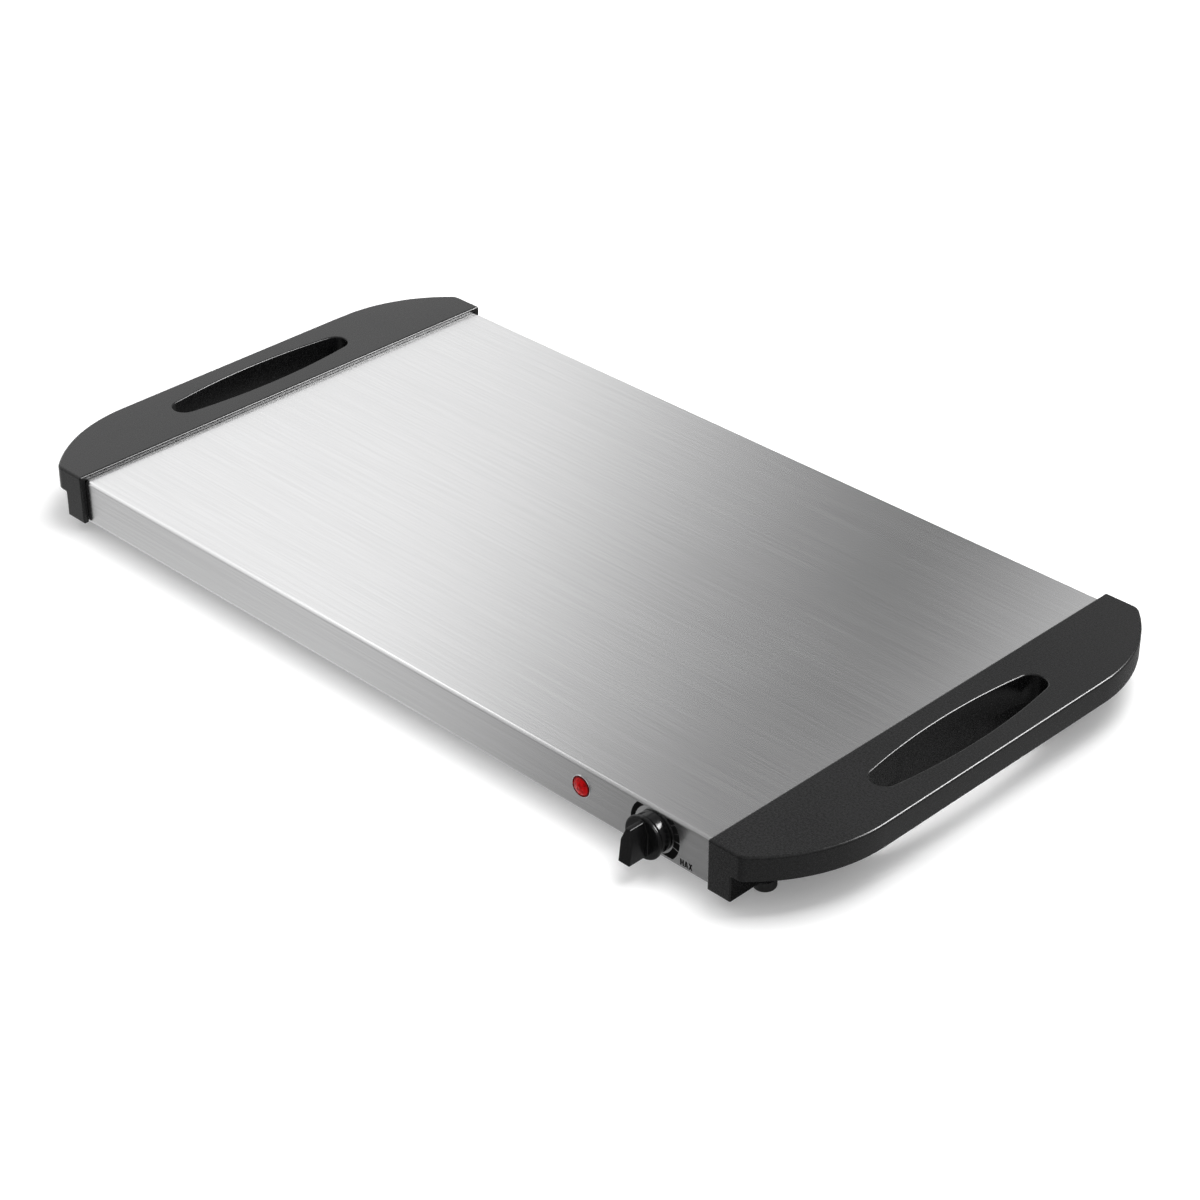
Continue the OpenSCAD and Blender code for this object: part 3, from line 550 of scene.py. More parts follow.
STEEL = BrushedSheet("brushed_stainless_steel", Slot.STAINLESS, (0.61, 0.61, 0.613), 0.26, anisotropy=0.85)
RING_STEEL = Plated("polished_ring_steel", Slot.STAINLESS, (0.78, 0.78, 0.79), 0.16)
ZINC = BrushedSheet("zinc_plated_sheet", Slot.ZINC, (0.55, 0.57, 0.59), 0.36, stretch=25.0, mark=1.2 * MM)
HANDLE = Moulded("satin_black_moulding", Slot.HANDLE, JET_BLACK, 0.28, 1.4 * MM, 0.028 * MM, 0.6, 0.29)
KNOB = Moulded("polished_black_moulding", Slot.KNOB, JET_BLACK, 0.2, relief=0.006 * MM, gloss=0.2)
RUBBER = Moulded("moulded_foot_rubber", Slot.FOOT, (0.022, 0.022, 0.022), 0.72, grain=0.4 * MM, gloss=0.3)
NYLON = Moulded("black_nylon_moulding", Slot.NYLON, (0.028, 0.028, 0.029), 0.42, grain=0.5 * MM)
SCREW = Plated("plated_screw_steel", Slot.SCREW, (0.62, 0.63, 0.65), 0.28)
BRASS = Plated("machined_brass", Slot.BRASS, (0.74, 0.56, 0.26), 0.3)
ALUMINIUM = BrushedSheet("mill_finish_aluminium", Slot.ALUMINIUM, (0.78, 0.79, 0.80), 0.4, stretch=40.0)
SHEATH = Plated("annealed_element_sheath", Slot.SHEATH, (0.24, 0.22, 0.20), 0.5, grain=1.5 * MM)
CERAMIC = Fired("unglazed_ceramic", Slot.CERAMIC, (0.84, 0.81, 0.74), 0.62)
BOARD = Fired("pressed_mineral_board", Slot.BOARD, (0.85, 0.82, 0.74), 0.9, 1.2 * MM, 6.0, 0.2 * MM)
INK = Print("dial_ink", None, (0.006, 0.006, 0.006), 0.6)
LEADS = {
    slot: Moulded(f"{slot.value}_insulation", slot, tone, 0.5)
    for slot, tone in {
        Slot.BROWN_LEAD: (0.17, 0.075, 0.03),
        Slot.BLACK_LEAD: (0.025, 0.025, 0.027),
        Slot.BLUE_LEAD: (0.03, 0.10, 0.34),
        Slot.GREEN_LEAD: (0.08, 0.30, 0.05),
    }.items()
}


# ---------- shapes ----------

EdgeTest = Callable[[bmesh.types.BMEdge], bool]


def in_scene(name: str, data: bpy.types.ID) -> bpy.types.Object:
    """Makes an object of the scene.

    Args:
        name: Its name.
        data: Its mesh, light or camera.

    Returns:
        The object.
    """
    made = bpy.data.objects.new(name, data)
    bpy.context.scene.collection.objects.link(made)
    return made


def facing_front(place: Point) -> Matrix:
    """Returns the matrix that stands a drawing up at a place, with its front to the tray's front."""
    return Matrix.Translation(place) @ Matrix.Rotation(math.pi / 2, 4, "X")


def bend_of(edge: bmesh.types.BMEdge) -> float:
    """Returns the angle in degrees by which the surface turns at an edge."""
    return math.degrees(edge.calc_face_angle(0.0))


class Shape:
    """A mesh in the making, with the rounds that its edges get.

    Attributes:
        WELD: Distance under which two points are one.
        FLAT: Bend in radians under which two faces are one.
        CREASE: Bend in degrees over which an edge is sharp.
    """

    WELD = 0.002 * MM
    FLAT = math.radians(0.3)
    CREASE = 32.0

    def __init__(self) -> None:
        """Starts an empty mesh."""
        self.mesh = bmesh.new()
        self.rounds: dict[int, float] = {}
        self.round_steps = 4

    @classmethod
    def of_node(cls, node: str) -> "Shape":
        """Returns a copy of a CAD node with its flat faces made whole.

        Args:
            node: The node's name.

        Returns:
            The copy.
        """
        shape = cls()
        shape.mesh.from_mesh(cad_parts[node].data)
        bmesh.ops.remove_doubles(shape.mesh, verts=shape.mesh.verts, dist=cls.WELD)
        bmesh.ops.dissolve_limit(
            shape.mesh, angle_limit=cls.FLAT, verts=shape.mesh.verts, edges=shape.mesh.edges
        )
        return shape

    @classmethod
    def turned(cls, profile: Outline, sides: int) -> "Shape":
        """Returns a solid turned about Z.

        Args:
            profile: Radius and height of each point, from one end of the axis to the other.
            sides: Number of sides.

        Returns:
            The solid.
        """
        shape = cls()
        rings = []
        for radius, height in profile:
            count = sides if radius > 0 else 1
            turns = [2 * math.pi * i / sides for i in range(count)]
            rings.append(
                [shape.mesh.verts.new((radius * math.cos(t), radius * math.sin(t), height)) for t in turns]
            )
        for low, high in zip(rings, rings[1:]):
            for i in range(sides):
                corners = [low[i % len(low)], low[(i + 1) % sides % len(low)]]
                corners += [high[(i + 1) % sides % len(high)], high[i % len(high)]]
                shape.mesh.faces.new(list(dict.fromkeys(corners)))
        bmesh.ops.recalc_face_normals(shape.mesh, faces=shape.mesh.faces)
        return shape

    def round_edges(self, radius: float, chosen: EdgeTest = lambda edge: True) -> None:
        """Marks sharp edges to be rounded when the piece is made.

        Args:
            radius: The round's radius.
            chosen: Test that picks the edges, all of them where it isn't given.
        """
        self.mesh.edges.index_update()
        for edge in self.mesh.edges:
            if len(edge.link_faces) == 2 and bend_of(edge) > self.CREASE and chosen(edge):
                self.rounds[edge.index] = radius

    def add_shape(self, other: "Shape", at: Matrix) -> None:
        """Copies another shape in.

        Args:
            other: The shape.
            at: The matrix that moves it.
        """
        copies = {v: self.mesh.verts.new(at @ v.co) for v in other.mesh.verts}
        for face in other.mesh.faces:
            self.mesh.faces.new([copies[v] for v in face.verts])

    def data(self, name: str) -> bpy.types.Mesh:
        """Writes the mesh out, with its sharp edges and rounds marked.

        Args:
            name: The mesh's name.

        Returns:
            The mesh.
        """
        widest = max(self.rounds.values(), default=0.0)
        self.mesh.edges.index_update()
        weights = self.mesh.edges.layers.float.new("bevel_weight_edge") if widest else None
        for face in self.mesh.faces:
            face.smooth = True
        for edge in self.mesh.edges:
            radius = self.rounds.get(edge.index, 0.0)
            edge.smooth = radius > 0 or bend_of(edge) < self.CREASE
            if weights is not None:
                edge[weights] = radius / widest
        made = bpy.data.meshes.new(name)
        self.mesh.to_mesh(made)
        self.mesh.free()
        return made

    def piece(
        self, name: str, body: Body, finish: Finish, replaces: Sequence[str] = (), parts: str = ""
    ) -> bpy.types.Object:
        """Makes the scene's piece and puts it on its body.

        Args:
            name: The piece's name.
            body: The body that it rides on.
            finish: Its finish.
            replaces: CAD nodes that it stands for.
            parts: What it is, for the log.

        Returns:
            The piece.
        """
        widest = max(self.rounds.values(), default=0.0)
        made = in_scene(name, self.data(name))
        made.data.materials.append(finish.material())
        if widest:
            bevel = made.modifiers.new("moulded_rounds", "BEVEL")
            bevel.limit_method = "WEIGHT"
            bevel.width = widest
            bevel.segments = self.round_steps
            bevel.use_clamp_overlap = False
            bevel.miter_outer = "MITER_ARC"
        shading = made.modifiers.new("even_shading", "WEIGHTED_NORMAL")
        shading.keep_sharp = True
        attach(made, body.value)
        if replaces:
            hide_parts(*replaces)
        LOG.info("%s: %s, %s", name, parts or "made", finish.name)
        return made


def dress(node: str, finish: Finish, sleek: bool = False) -> None:
    """Gives a CAD node that stays in view its finish.

    Args:
        node: The node's name.
        finish: Its finish.
        sleek: Whether its facets are smoothed over, as on a round lead.
    """
    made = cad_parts[node]
    made.data.materials.clear()
    made.data.materials.append(finish.material())
    if sleek:
        weld = made.modifiers.new("closed_skin", "WELD")
        weld.merge_threshold = Shape.WELD
        skin = made.modifiers.new("round_skin", "SUBSURF")
        skin.levels = skin.render_levels = 1
    LOG.info("%s: carried over, %s", node, finish.name)


def solids_of(node: str) -> list[tuple[Vector, Vector]]:
    """Finds the separate solids of a CAD node.

    Args:
        node: The node's name.

    Returns:
        The low and high corner of each solid.
    """
    shape = Shape.of_node(node)
    found: list[tuple[Vector, Vector]] = []
    waiting = set(shape.mesh.verts)
    while waiting:
        stack = [waiting.pop()]
        group = list(stack)
        while stack:
            vertex = stack.pop()
            for edge in vertex.link_edges:
                other = edge.other_vert(vertex)
                if other in waiting:
                    waiting.remove(other)
                    stack.append(other)
                    group.append(other)
        corners = list(zip(*(v.co for v in group)))
        found.append((Vector(map(min, corners)), Vector(map(max, corners))))
    shape.mesh.free()
    return sorted(found, key=lambda corner: tuple(corner[0]))


# ---------- sub-assemblies ----------


@dataclass
class Screws:
    """Pan-head screws with a cross recess, one on each solid of a CAD node.

    Attributes:
        node: The CAD node.
        shank_r: Radius of the shank.
        head_h: Height of the head.
        slot_w: Width of the recess.
        slot_share: Length of the recess as a share of the head.
        slot_d: Depth of the recess.
        pitch: Distance between the threads.
        sides: Number of sides of the head.
    """

    node: str
    shank_r: float
    head_h: float = 1.9 * MM
    slot_w: float = 0.8 * MM
    slot_share: float = 0.62
    slot_d: float = 1.1 * MM
    pitch: float = 1.0 * MM
    sides: int = 40

    # The dome's points as angles from its middle, then shares of the head's height and the shank's radius.
    DOME_TURNS = (0.35, 0.7, 1.1, 1.4)
    DOME_SHARE, BRIM_SHARE = 0.55, 0.6
    ROOT_SHARE, TIP_SHARE = 0.86, 0.7

    def _blank(self, head_r: float, length: float) -> Shape:
        """Turns a screw without its recess, head down, with its head's top at z = 0.

        Args:
            head_r: Radius of its head.
            length: Its whole length.

        Returns:
            The screw.
        """
        dome_h = self.head_h * self.DOME_SHARE
        dome = [(head_r * math.sin(t), dome_h * (1 - math.cos(t))) for t in self.DOME_TURNS]
        root_r, tip_r = self.shank_r * self.ROOT_SHARE, self.shank_r * self.TIP_SHARE
        profile = [(0.0, 0.0), *dome, (head_r, self.head_h * self.BRIM_SHARE), (head_r, self.head_h)]
        height = self.head_h
        while height + self.pitch < length:
            profile += [(root_r, height), (self.shank_r, height + self.pitch / 2)]
            height += self.pitch
        profile += [(root_r, height), (tip_r, length), (0.0, length)]
        return Shape.turned(profile, self.sides)

    def _with_recess(self, blank: Shape, head_r: float) -> Shape:
        """Cuts the cross recess into a screw.

        Args:
            blank: The screw without it.
            head_r: Radius of its head.

        Returns:
            The screw.
        """
        screw = in_scene("screw", blank.data("screw"))
        cutters = []
        for turn in (0.0, math.pi / 2):
            bar = Shape()
            size = Matrix.Diagonal((2 * head_r * self.slot_share, self.slot_w, 2 * self.slot_d, 1.0))
            bmesh.ops.create_cube(bar.mesh, size=1.0, matrix=Matrix.Rotation(turn, 4, "Z") @ size)
            cutter = in_scene("recess", bar.data("recess"))
            cut = screw.modifiers.new("recess", "BOOLEAN")
            cut.operation = "DIFFERENCE"
            cut.solver = "EXACT"
            cut.object = cutter
            cutters.append(cutter)
        graph = bpy.context.evaluated_depsgraph_get()
        cut_mesh = bpy.data.meshes.new_from_object(screw.evaluated_get(graph))
        shape = Shape()
        shape.mesh.from_mesh(cut_mesh)
        for made in [screw, *cutters]:
            bpy.data.objects.remove(made)
        return shape

    def build(self) -> None:
        """Makes all the screws of the node as one piece."""
        whole = Shape()
        pattern: Optional[Shape] = None
        for low, high in solids_of(self.node):
            head_r = (high.x - low.x) / 2
            if pattern is None:
                pattern = self._with_recess(self._blank(head_r, high.z - low.z), head_r)
            centre = (low + high) / 2
            whole.add_shape(pattern, Matrix.Translation((centre.x, centre.y, low.z)))
        pattern.mesh.free()
        whole.piece(self.node + "_recessed", Body.TRAY, SCREW, [self.node], "cross-recessed screws")


@dataclass
class Casing:
    """The folded steel top, the base plate under it and their screws.

    Attributes:
        brushing_away: How far off the point lies round which the brushing runs.
        plate_round: Round on the base plate's edges.
        screw_r: Radius of the shank of the base plate's screws.
    """

    brushing_away: float = 1000.0
    plate_round: float = 0.2 * MM
    screw_r: float = 1.58 * MM

    def _top(self) -> None:
        """Makes the steel top, whose brushing runs straight along X."""
        made = Shape.of_node("top_plate").piece(
            "brushed_top", Body.TRAY, STEEL, ["top_plate"], "folded top and skirts"
        )
        made.data.use_auto_texspace = False
        made.data.texspace_location = (0.0, self.brushing_away, 0.0)
        made.data.texspace_size = (1.0, 1.0, 1.0)

    def _base(self) -> None:
        """Makes the base plate with its vent slots."""
        plate = Shape.of_node("base_plate")
        plate.round_edges(self.plate_round)
        plate.round_steps = 2
        plate.piece("vented_base", Body.TRAY, ZINC, ["base_plate"], "base plate with vents")

    def build(self) -> None:
        """Makes the casing's pieces."""
        self._top()
        self._base()
        Screws("base_screws", self.screw_r).build()


@dataclass
class EndHandle:
    """A moulded end handle.

    Attributes:
        side: The end that it is on.
        rim_round: Round along the outer rim of the top.
        slot_round: Round along the rim of the finger slot.
        inner_round: Round beside the steel.
        under_round: Round under the grip.
        leg_round: Round down the leg's corners and along its foot.
        slot_near: Distance from the inner face at which the slot begins.
        slot_far: Distance from the inner face at which the slot ends.
        tuck: How far the handle's tongues reach past its inner face.
        grip_t: Thickness of the grip.
        level: How closely a point lies on a named level.
    """

    side: Side
    rim_round: float = 1.7 * MM
    slot_round: float = 1.1 * MM
    inner_round: float = 1.5 * MM
    under_round: float = 0.7 * MM
    leg_round: float = 1.0 * MM
    slot_near: float = 15.5 * MM
    slot_far: float = 45.5 * MM
    tuck: float = 12.0 * MM
    grip_t: float = 16.9 * MM
    level: float = 0.05 * MM

    def build(self) -> None:
        """Makes the handle."""
        node = f"{self.side.name.lower()}_handle"
        low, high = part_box(node)
        inner = (low.x if self.side is Side.RIGHT else -high.x) + self.tuck
        middle_y = (low.y + high.y) / 2
        half_w = (high.y - low.y) / 2

        def reach(edge: bmesh.types.BMEdge) -> float:
            """Returns how far an edge's middle lies from the inner face."""
            return (edge.verts[0].co.x + edge.verts[1].co.x) / 2 * self.side.value - inner

        def at_level(edge: bmesh.types.BMEdge, height: float) -> bool:
            """Tells whether an edge lies at that height."""
            return all(abs(v.co.z - height) < self.level for v in edge.verts)

        def on_rim(edge: bmesh.types.BMEdge, near: float, far: float) -> bool:
            """Tells whether an edge of the top lies between two reaches."""
            return at_level(edge, high.z) and near < reach(edge) < far

        def in_slot(edge: bmesh.types.BMEdge) -> bool:
            """Tells whether an edge of the top belongs to the finger slot."""
            inside = all(abs(v.co.y - middle_y) < half_w / 2 for v in edge.verts)
            return inside and on_rim(edge, self.slot_near, self.slot_far)

        def at_end(edge: bmesh.types.BMEdge) -> bool:
            """Tells whether an upright edge stands at the front or the back."""
            upright = abs(edge.verts[0].co.z - edge.verts[1].co.z) > self.leg_round
            return upright and all(abs(abs(v.co.y - middle_y) - half_w) < self.level for v in edge.verts)

        shape = Shape.of_node(node)
        shape.round_edges(self.leg_round, at_end)
        shape.round_edges(self.leg_round, lambda edge: at_level(edge, low.z) and reach(edge) > 0)
        shape.round_edges(self.under_round, lambda edge: at_level(edge, high.z - self.grip_t))
        shape.round_edges(self.rim_round, lambda edge: at_level(edge, high.z) and not in_slot(edge))
        shape.round_edges(self.inner_round, lambda edge: on_rim(edge, -self.level, self.level))
        shape.round_edges(self.slot_round, in_slot)
        shape.piece(f"{node}_moulding", Body.TRAY, HANDLE, [node], "handle with rounded rims")


@dataclass
class Feet:
    """The four rubber feet with their screws, and the handles' screws.

    Attributes:
        edge: Round on the edges that the mould leaves sharp.
        foot_screw_r: Radius of the shank of the foot screws.
        handle_screw_r: Radius of the shank of the handle screws.
    """

    edge: float = 0.3 * MM
    foot_screw_r: float = 1.8 * MM
    handle_screw_r: float = 1.53 * MM

    def build(self) -> None:
        """Makes the feet and the screws."""
        for end in ("front", "back"):
            for side in Side:
                node = f"{end}_{side.name.lower()}_foot"
                foot = Shape.of_node(node)
                foot.round_edges(self.edge)
                foot.piece(f"{node}_rubber", Body.TRAY, RUBBER, [node], "rubber foot")
        Screws("foot_screws", self.foot_screw_r).build()
        Screws("handle_screws", self.handle_screw_r).build()


@dataclass
class DialKnob:
    """The pointer knob on its shaft.

    Attributes:
        edge: Round on the knob's edges.
        hollow_depth: Distance from the panel within which edges aren't rounded.
    """

    edge: float = 0.5 * MM
    hollow_depth: float = 6.0 * MM

    def build(self) -> None:
        """Makes the knob and dresses its shaft."""
        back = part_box("knob")[1].y
        knob = Shape.of_node("knob")
        knob.round_edges(
            self.edge, lambda edge: all(v.co.y < back - self.hollow_depth for v in edge.verts)
        )
        knob.piece("pointer_knob", Body.KNOB, KNOB, ["knob"], "pointer knob")
        dress("control_shaft", SCREW)


@dataclass
class DialPrint:
    """The scale and the word printed round the knob.

    Attributes:
        outer_r: Outer radius of the scale.
        inner_first_r: Inner radius where the scale starts.
        inner_last_r: Inner radius where it ends.
        first: Clock angle of its start in degrees, from 12 o'clock.
        last: Clock angle of its end.
        gaps: Clock angles of the thin gaps.
        gap_w: Width of a gap.
        rise: Flat upper limit above the dial's middle.
        fall: Flat lower limit below the dial's middle.
        ink: Thickness of the ink.
        word_at: Place of the word's lower left corner from the dial's middle.
        letter_w: Width of a letter.
        letter_h: Height of a letter.
        letter_gap: Gap between two letters.
        stroke: Width of the letters' strokes.
        steps: Number of steps round the scale.
    """

    outer_r: float = 19.1 * MM
    inner_first_r: float = 16.4 * MM
    inner_last_r: float = 14.2 * MM
    first: float = -150.0
    last: float = 158.0
    gaps: tuple[float, ...] = (18.0, 36.0, 54.0, 72.0, 90.0, 108.0)
    gap_w: float = 0.66 * MM
    rise: float = 13.2 * MM
    fall: float = 13.1 * MM
    ink: float = 0.04 * MM
    word_at: tuple[float, float] = (19.7 * MM, -13.3 * MM)
    letter_w: float = 2.85 * MM
    letter_h: float = 4.3 * MM
    letter_gap: float = 0.4 * MM
    stroke: float = 0.84 * MM
    steps: int = 154

    def _panel_place(self) -> Matrix:
        """Finds the place of a drawing on the panel.

        Returns:
            The matrix that lays its middle on the dial's.
        """
        low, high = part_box("control_shaft")
        panel_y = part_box("control_nut")[1].y
        return facing_front(((low.x + high.x) / 2, panel_y, (low.z + high.z) / 2))

    def _scale(self) -> Shape:
        """Draws the ring that thickens clockwise, cut flat above and below and divided.

        Returns:
            The ring.
        """
        shape = Shape()
        previous: Optional[list[bmesh.types.BMVert]] = None
        for i in range(self.steps + 1):
            share = i / self.steps
            clock = math.radians(self.first + (self.last - self.first) * share)
            inner = self.inner_first_r + (self.inner_last_r - self.inner_first_r) * share
            across = Vector((math.sin(clock), math.cos(clock), 0.0))
            pair = [shape.mesh.verts.new(across * r) for r in (inner, self.outer_r)]
            if previous and not self._in_gap(clock):
                shape.mesh.faces.new([previous[0], pair[0], pair[1], previous[1]])
            previous = pair
        for height, sign in ((self.rise, 1.0), (-self.fall, -1.0)):
            everything = [*shape.mesh.verts, *shape.mesh.edges, *shape.mesh.faces]
            bmesh.ops.bisect_plane(
                shape.mesh, geom=everything, plane_co=(0, height, 0), plane_no=(0, sign, 0), clear_outer=True
            )
        loose = [v for v in shape.mesh.verts if not v.link_faces]
        bmesh.ops.delete(shape.mesh, geom=loose, context="VERTS")
        self._thicken(shape)
        return shape

    def _in_gap(self, clock: float) -> bool:
        """Tells whether a gap of the scale lies at that clock angle."""
        return any(abs(clock - math.radians(gap)) * self.outer_r < self.gap_w / 2 for gap in self.gaps)

    def _thicken(self, shape: Shape) -> None:
        """Gives a flat drawing the ink's thickness.

        Args:
            shape: The drawing.
        """
        grown = bmesh.ops.extrude_face_region(shape.mesh, geom=list(shape.mesh.faces))
        raised = [v for v in grown["geom"] if isinstance(v, bmesh.types.BMVert)]
        bmesh.ops.translate(shape.mesh, verts=raised, vec=(0, 0, self.ink))
        bmesh.ops.recalc_face_normals(shape.mesh, faces=shape.mesh.faces)

    def _lettering(self) -> Shape:
        """Draws the word in plain block letters.

        Returns:
            The word.
        """
        shape = Shape()
        start = self.word_at[0]
        for outlines in (self._letter_m(), self._letter_a(), self._letter_x()):
            corners: dict[tuple[float, float], bmesh.types.BMVert] = {}
            for outline in outlines:
                for x, y in outline:
                    if (x, y) not in corners:
                        corners[(x, y)] = shape.mesh.verts.new((start + x, self.word_at[1] + y, 0.0))
                shape.mesh.faces.new([corners[point] for point in outline])
            start += self.letter_w + self.letter_gap
        self._thicken(shape)
        return shape

    def _letter_m(self) -> list[Outline]:
        """Draws the letter M.

        Returns:
            Its outline.
        """
        w, h, s = self.letter_w, self.letter_h, self.stroke
        top, notch, low, inner = 1.1 * s, 0.42 * h, 0.06 * h, 0.6 * h
        left = [(0.0, 0.0), (0.0, h), (top, h), (w / 2, notch)]
        right = [(w - top, h), (w, h), (w, 0.0), (w - s, 0.0), (w - s, inner), (w / 2, low)]
        return [[*left, *right, (s, inner), (s, 0.0)]]

    def _letter_a(self) -> list[Outline]:
        """Draws the letter A.

        Returns:
            Its outline and its bar's.
        """
        w, h, s = self.letter_w, self.letter_h, self.stroke
        foot, cap, peak, bar = 1.1 * s, 0.6 * s, h - 1.5 * s, 0.75 * s
        low = 0.2 * h
        left = [(foot + (w / 2 - foot) * y / peak, y) for y in (low, low + bar)]
        right = [(w - x, y) for x, y in left]
        legs = [(0.0, 0.0), (w / 2 - cap, h), (w / 2 + cap, h), (w, 0.0), (w - foot, 0.0)]
        return [[*legs, *right, (w / 2, peak), *reversed(left), (foot, 0.0)], [*left, *reversed(right)]]

    def _letter_x(self) -> list[Outline]:
        """Draws the letter X.

        Returns:
            Its outline.
        """
        w, h, foot = self.letter_w, self.letter_h, 1.15 * self.stroke
        waist = (w - foot) / 2
        notch = h * (w / 2 - foot) / (w - foot)
        top = [(0.0, 0.0), (waist, h / 2), (0.0, h), (foot, h), (w / 2, h - notch), (w - foot, h), (w, h)]
        return [[*top, (w - waist, h / 2), (w, 0.0), (w - foot, 0.0), (w / 2, notch), (foot, 0.0)]]

    def build(self) -> None:
        """Makes the scale and the word as thin pieces of ink on the panel."""
        place = self._panel_place()
        for name, shape in (("dial_scale_print", self._scale()), ("dial_word_print", self._lettering())):
            bmesh.ops.transform(shape.mesh, matrix=place, verts=shape.mesh.verts)
            shape.piece(name, Body.TRAY, INK, (), "printed on the front panel")


@dataclass
class PilotLamp:
    """The red lamp in the front panel.

    Attributes:
        rim_w: Width of the lens's rim, which carries painted shade.
        dome_h: Height of the lens.
        rim_h: Height of the rim.
        sides: Number of sides of the rim.
        facets: Number of facets round the dome.
        ring_round: Round on the steel ring's edges.
    """

    rim_w: float = 0.8 * MM
    dome_h: float = 2.4 * MM
    rim_h: float = 1.0 * MM
    sides: int = 56
    facets: int = 14
    ring_round: float = 0.2 * MM

    # Shares of the rim's width and height, and of the dome's radius and height.
    RIM_CHAMFERS = (0.25, 0.2)
    RIM_SHOULDER, RIM_FLOOR = 0.7, 0.55
    DOME_FIT = 0.985
    DOME_FOOT, DOME_WALL = 0.3, 0.75
    DOME_RINGS = ((0.72, 0.78), (0.34, 0.96))

    def _lens(self) -> None:
        """Makes the faceted lens inside its plain rim."""
        low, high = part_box("lamp_lens")
        centre = ((low.x + high.x) / 2, high.y, (low.z + high.z) / 2)
        radius = (high.x - low.x) / 2
        inner = radius - self.rim_w
        outer_chamfer, inner_chamfer = (self.rim_w * share for share in self.RIM_CHAMFERS)
        floor_h, dome_r = self.rim_h * self.RIM_FLOOR, inner * self.DOME_FIT
        rim = Shape.turned(
            [
                (0.0, 0.0),
                (radius, 0.0),
                (radius, self.rim_h * self.RIM_SHOULDER),
                (radius - outer_chamfer, self.rim_h),
                (inner + inner_chamfer, self.rim_h),
                (inner, floor_h),
                (0.0, floor_h),
            ],
            self.sides,
        )
        dome = Shape.turned(
            [
                (0.0, self.rim_h * self.DOME_FOOT),
                (dome_r, self.rim_h * self.DOME_FOOT),
                (dome_r, self.rim_h * self.DOME_WALL),
                *((inner * across, self.dome_h * up) for across, up in self.DOME_RINGS),
                (0.0, self.dome_h),
            ],
            self.facets,
        )
        finish = LampLens("clear_red_lens", Slot.LENS, (0.4, 0.001, 0.002), 0.12, centre, inner)
        for name, shape, stands in (("lamp_lens_rim", rim, ()), ("lamp_lens_dome", dome, ("lamp_lens",))):
            bmesh.ops.transform(shape.mesh, matrix=facing_front(centre), verts=shape.mesh.verts)
            shape.piece(name, Body.TRAY, finish, stands, "lamp lens")

    def build(self) -> None:
        """Makes the lens and the ring, and dresses what holds them."""
        self._lens()
        ring = Shape.of_node("lamp_ring")
        ring.round_edges(self.ring_round)
        ring.piece("lamp_bright_ring", Body.TRAY, RING_STEEL, ["lamp_ring"], "thin ring round the lens")
        dress("lamp_barrel", NYLON)
        dress("lamp_clip", SCREW)


@dataclass
class Insides:
    """What the casing hides: heating pack, control, terminals, gland and leads.

    Attributes:
        finishes: The CAD nodes that are carried over, by finish.
        leads: The leads, by colour.
        gland_round: Round on the gland's edges.
    """

    finishes: dict[Finish, tuple[str, ...]] = field(
        default_factory=lambda: {
            ZINC: ("control_plate", "left_clip_bar", "middle_clip_bar", "right_clip_bar", "fuse_clip"),
            SCREW: (
                "control_nut",
                "element_pins",
                "terminal_screws",
                "block_screw",
                "earth_stud",
                "earth_nut",
            ),
            BRASS: ("control_bushing", "control_tabs", "earth_tag"),
            CERAMIC: ("control_body", "element_beads", "thermal_fuse", "terminal_block"),
            ALUMINIUM: ("heat_spreader", "reflector_foil"),
            SHEATH: ("heating_element",),
            BOARD: ("insulation_board",),
            NYLON: ("gland_nut",),
        }
    )
    leads: dict[Slot, tuple[str, ...]] = field(
        default_factory=lambda: {
            Slot.BROWN_LEAD: ("live_lead",),
            Slot.BLACK_LEAD: ("switched_lead", "fuse_lead", "lamp_live_lead"),
            Slot.BLUE_LEAD: ("neutral_lead", "lamp_neutral_lead"),
            Slot.GREEN_LEAD: ("earth_lead",),
        }
    )
    gland_round: float = 0.35 * MM

    def build(self) -> None:
        """Dresses the nodes that stay and makes the gland."""
        for finish, nodes in self.finishes.items():
            for node in nodes:
                dress(node, finish)
        for slot, nodes in self.leads.items():
            for node in nodes:
                dress(node, LEADS[slot], sleek=True)
        gland = Shape.of_node("cord_gland")
        gland.round_edges(self.gland_round)
        gland.piece("rear_cord_gland", Body.TRAY, NYLON, ["cord_gland"], "gland for the mains cord")


# ---------- studio ----------


@dataclass(frozen=True)
class Softbox:
    """A flat studio light.

    Attributes:
        name: Its name.
        at: Its middle.
        aim: The point that it faces.
        width: Its width.
        height: Its height.
        glow: Its radiance.
        use: What it lights.
    """

    name: str
    at: Point
    aim: Point
    width: float
    height: float
    glow: float
    use: Glow

    def build(self) -> None:
        """Hangs the light."""
        lamp = bpy.data.lights.new(self.name, "AREA")
        lamp.shape = "RECTANGLE"
        lamp.size = self.width
        lamp.size_y = self.height
        lamp.energy = self.glow * math.pi * self.width * self.height
        holder = in_scene(self.name, lamp)
        holder.location = self.at
        holder.rotation_euler = (Vector(self.aim) - Vector(self.at)).to_track_quat("-Z", "Y").to_euler()
        holder.visible_diffuse = self.use is Glow.SOFT_LIGHT
        holder.visible_glossy = self.use is Glow.HIGHLIGHTS
        LOG.info("%s: %s", self.name, self.use.value)


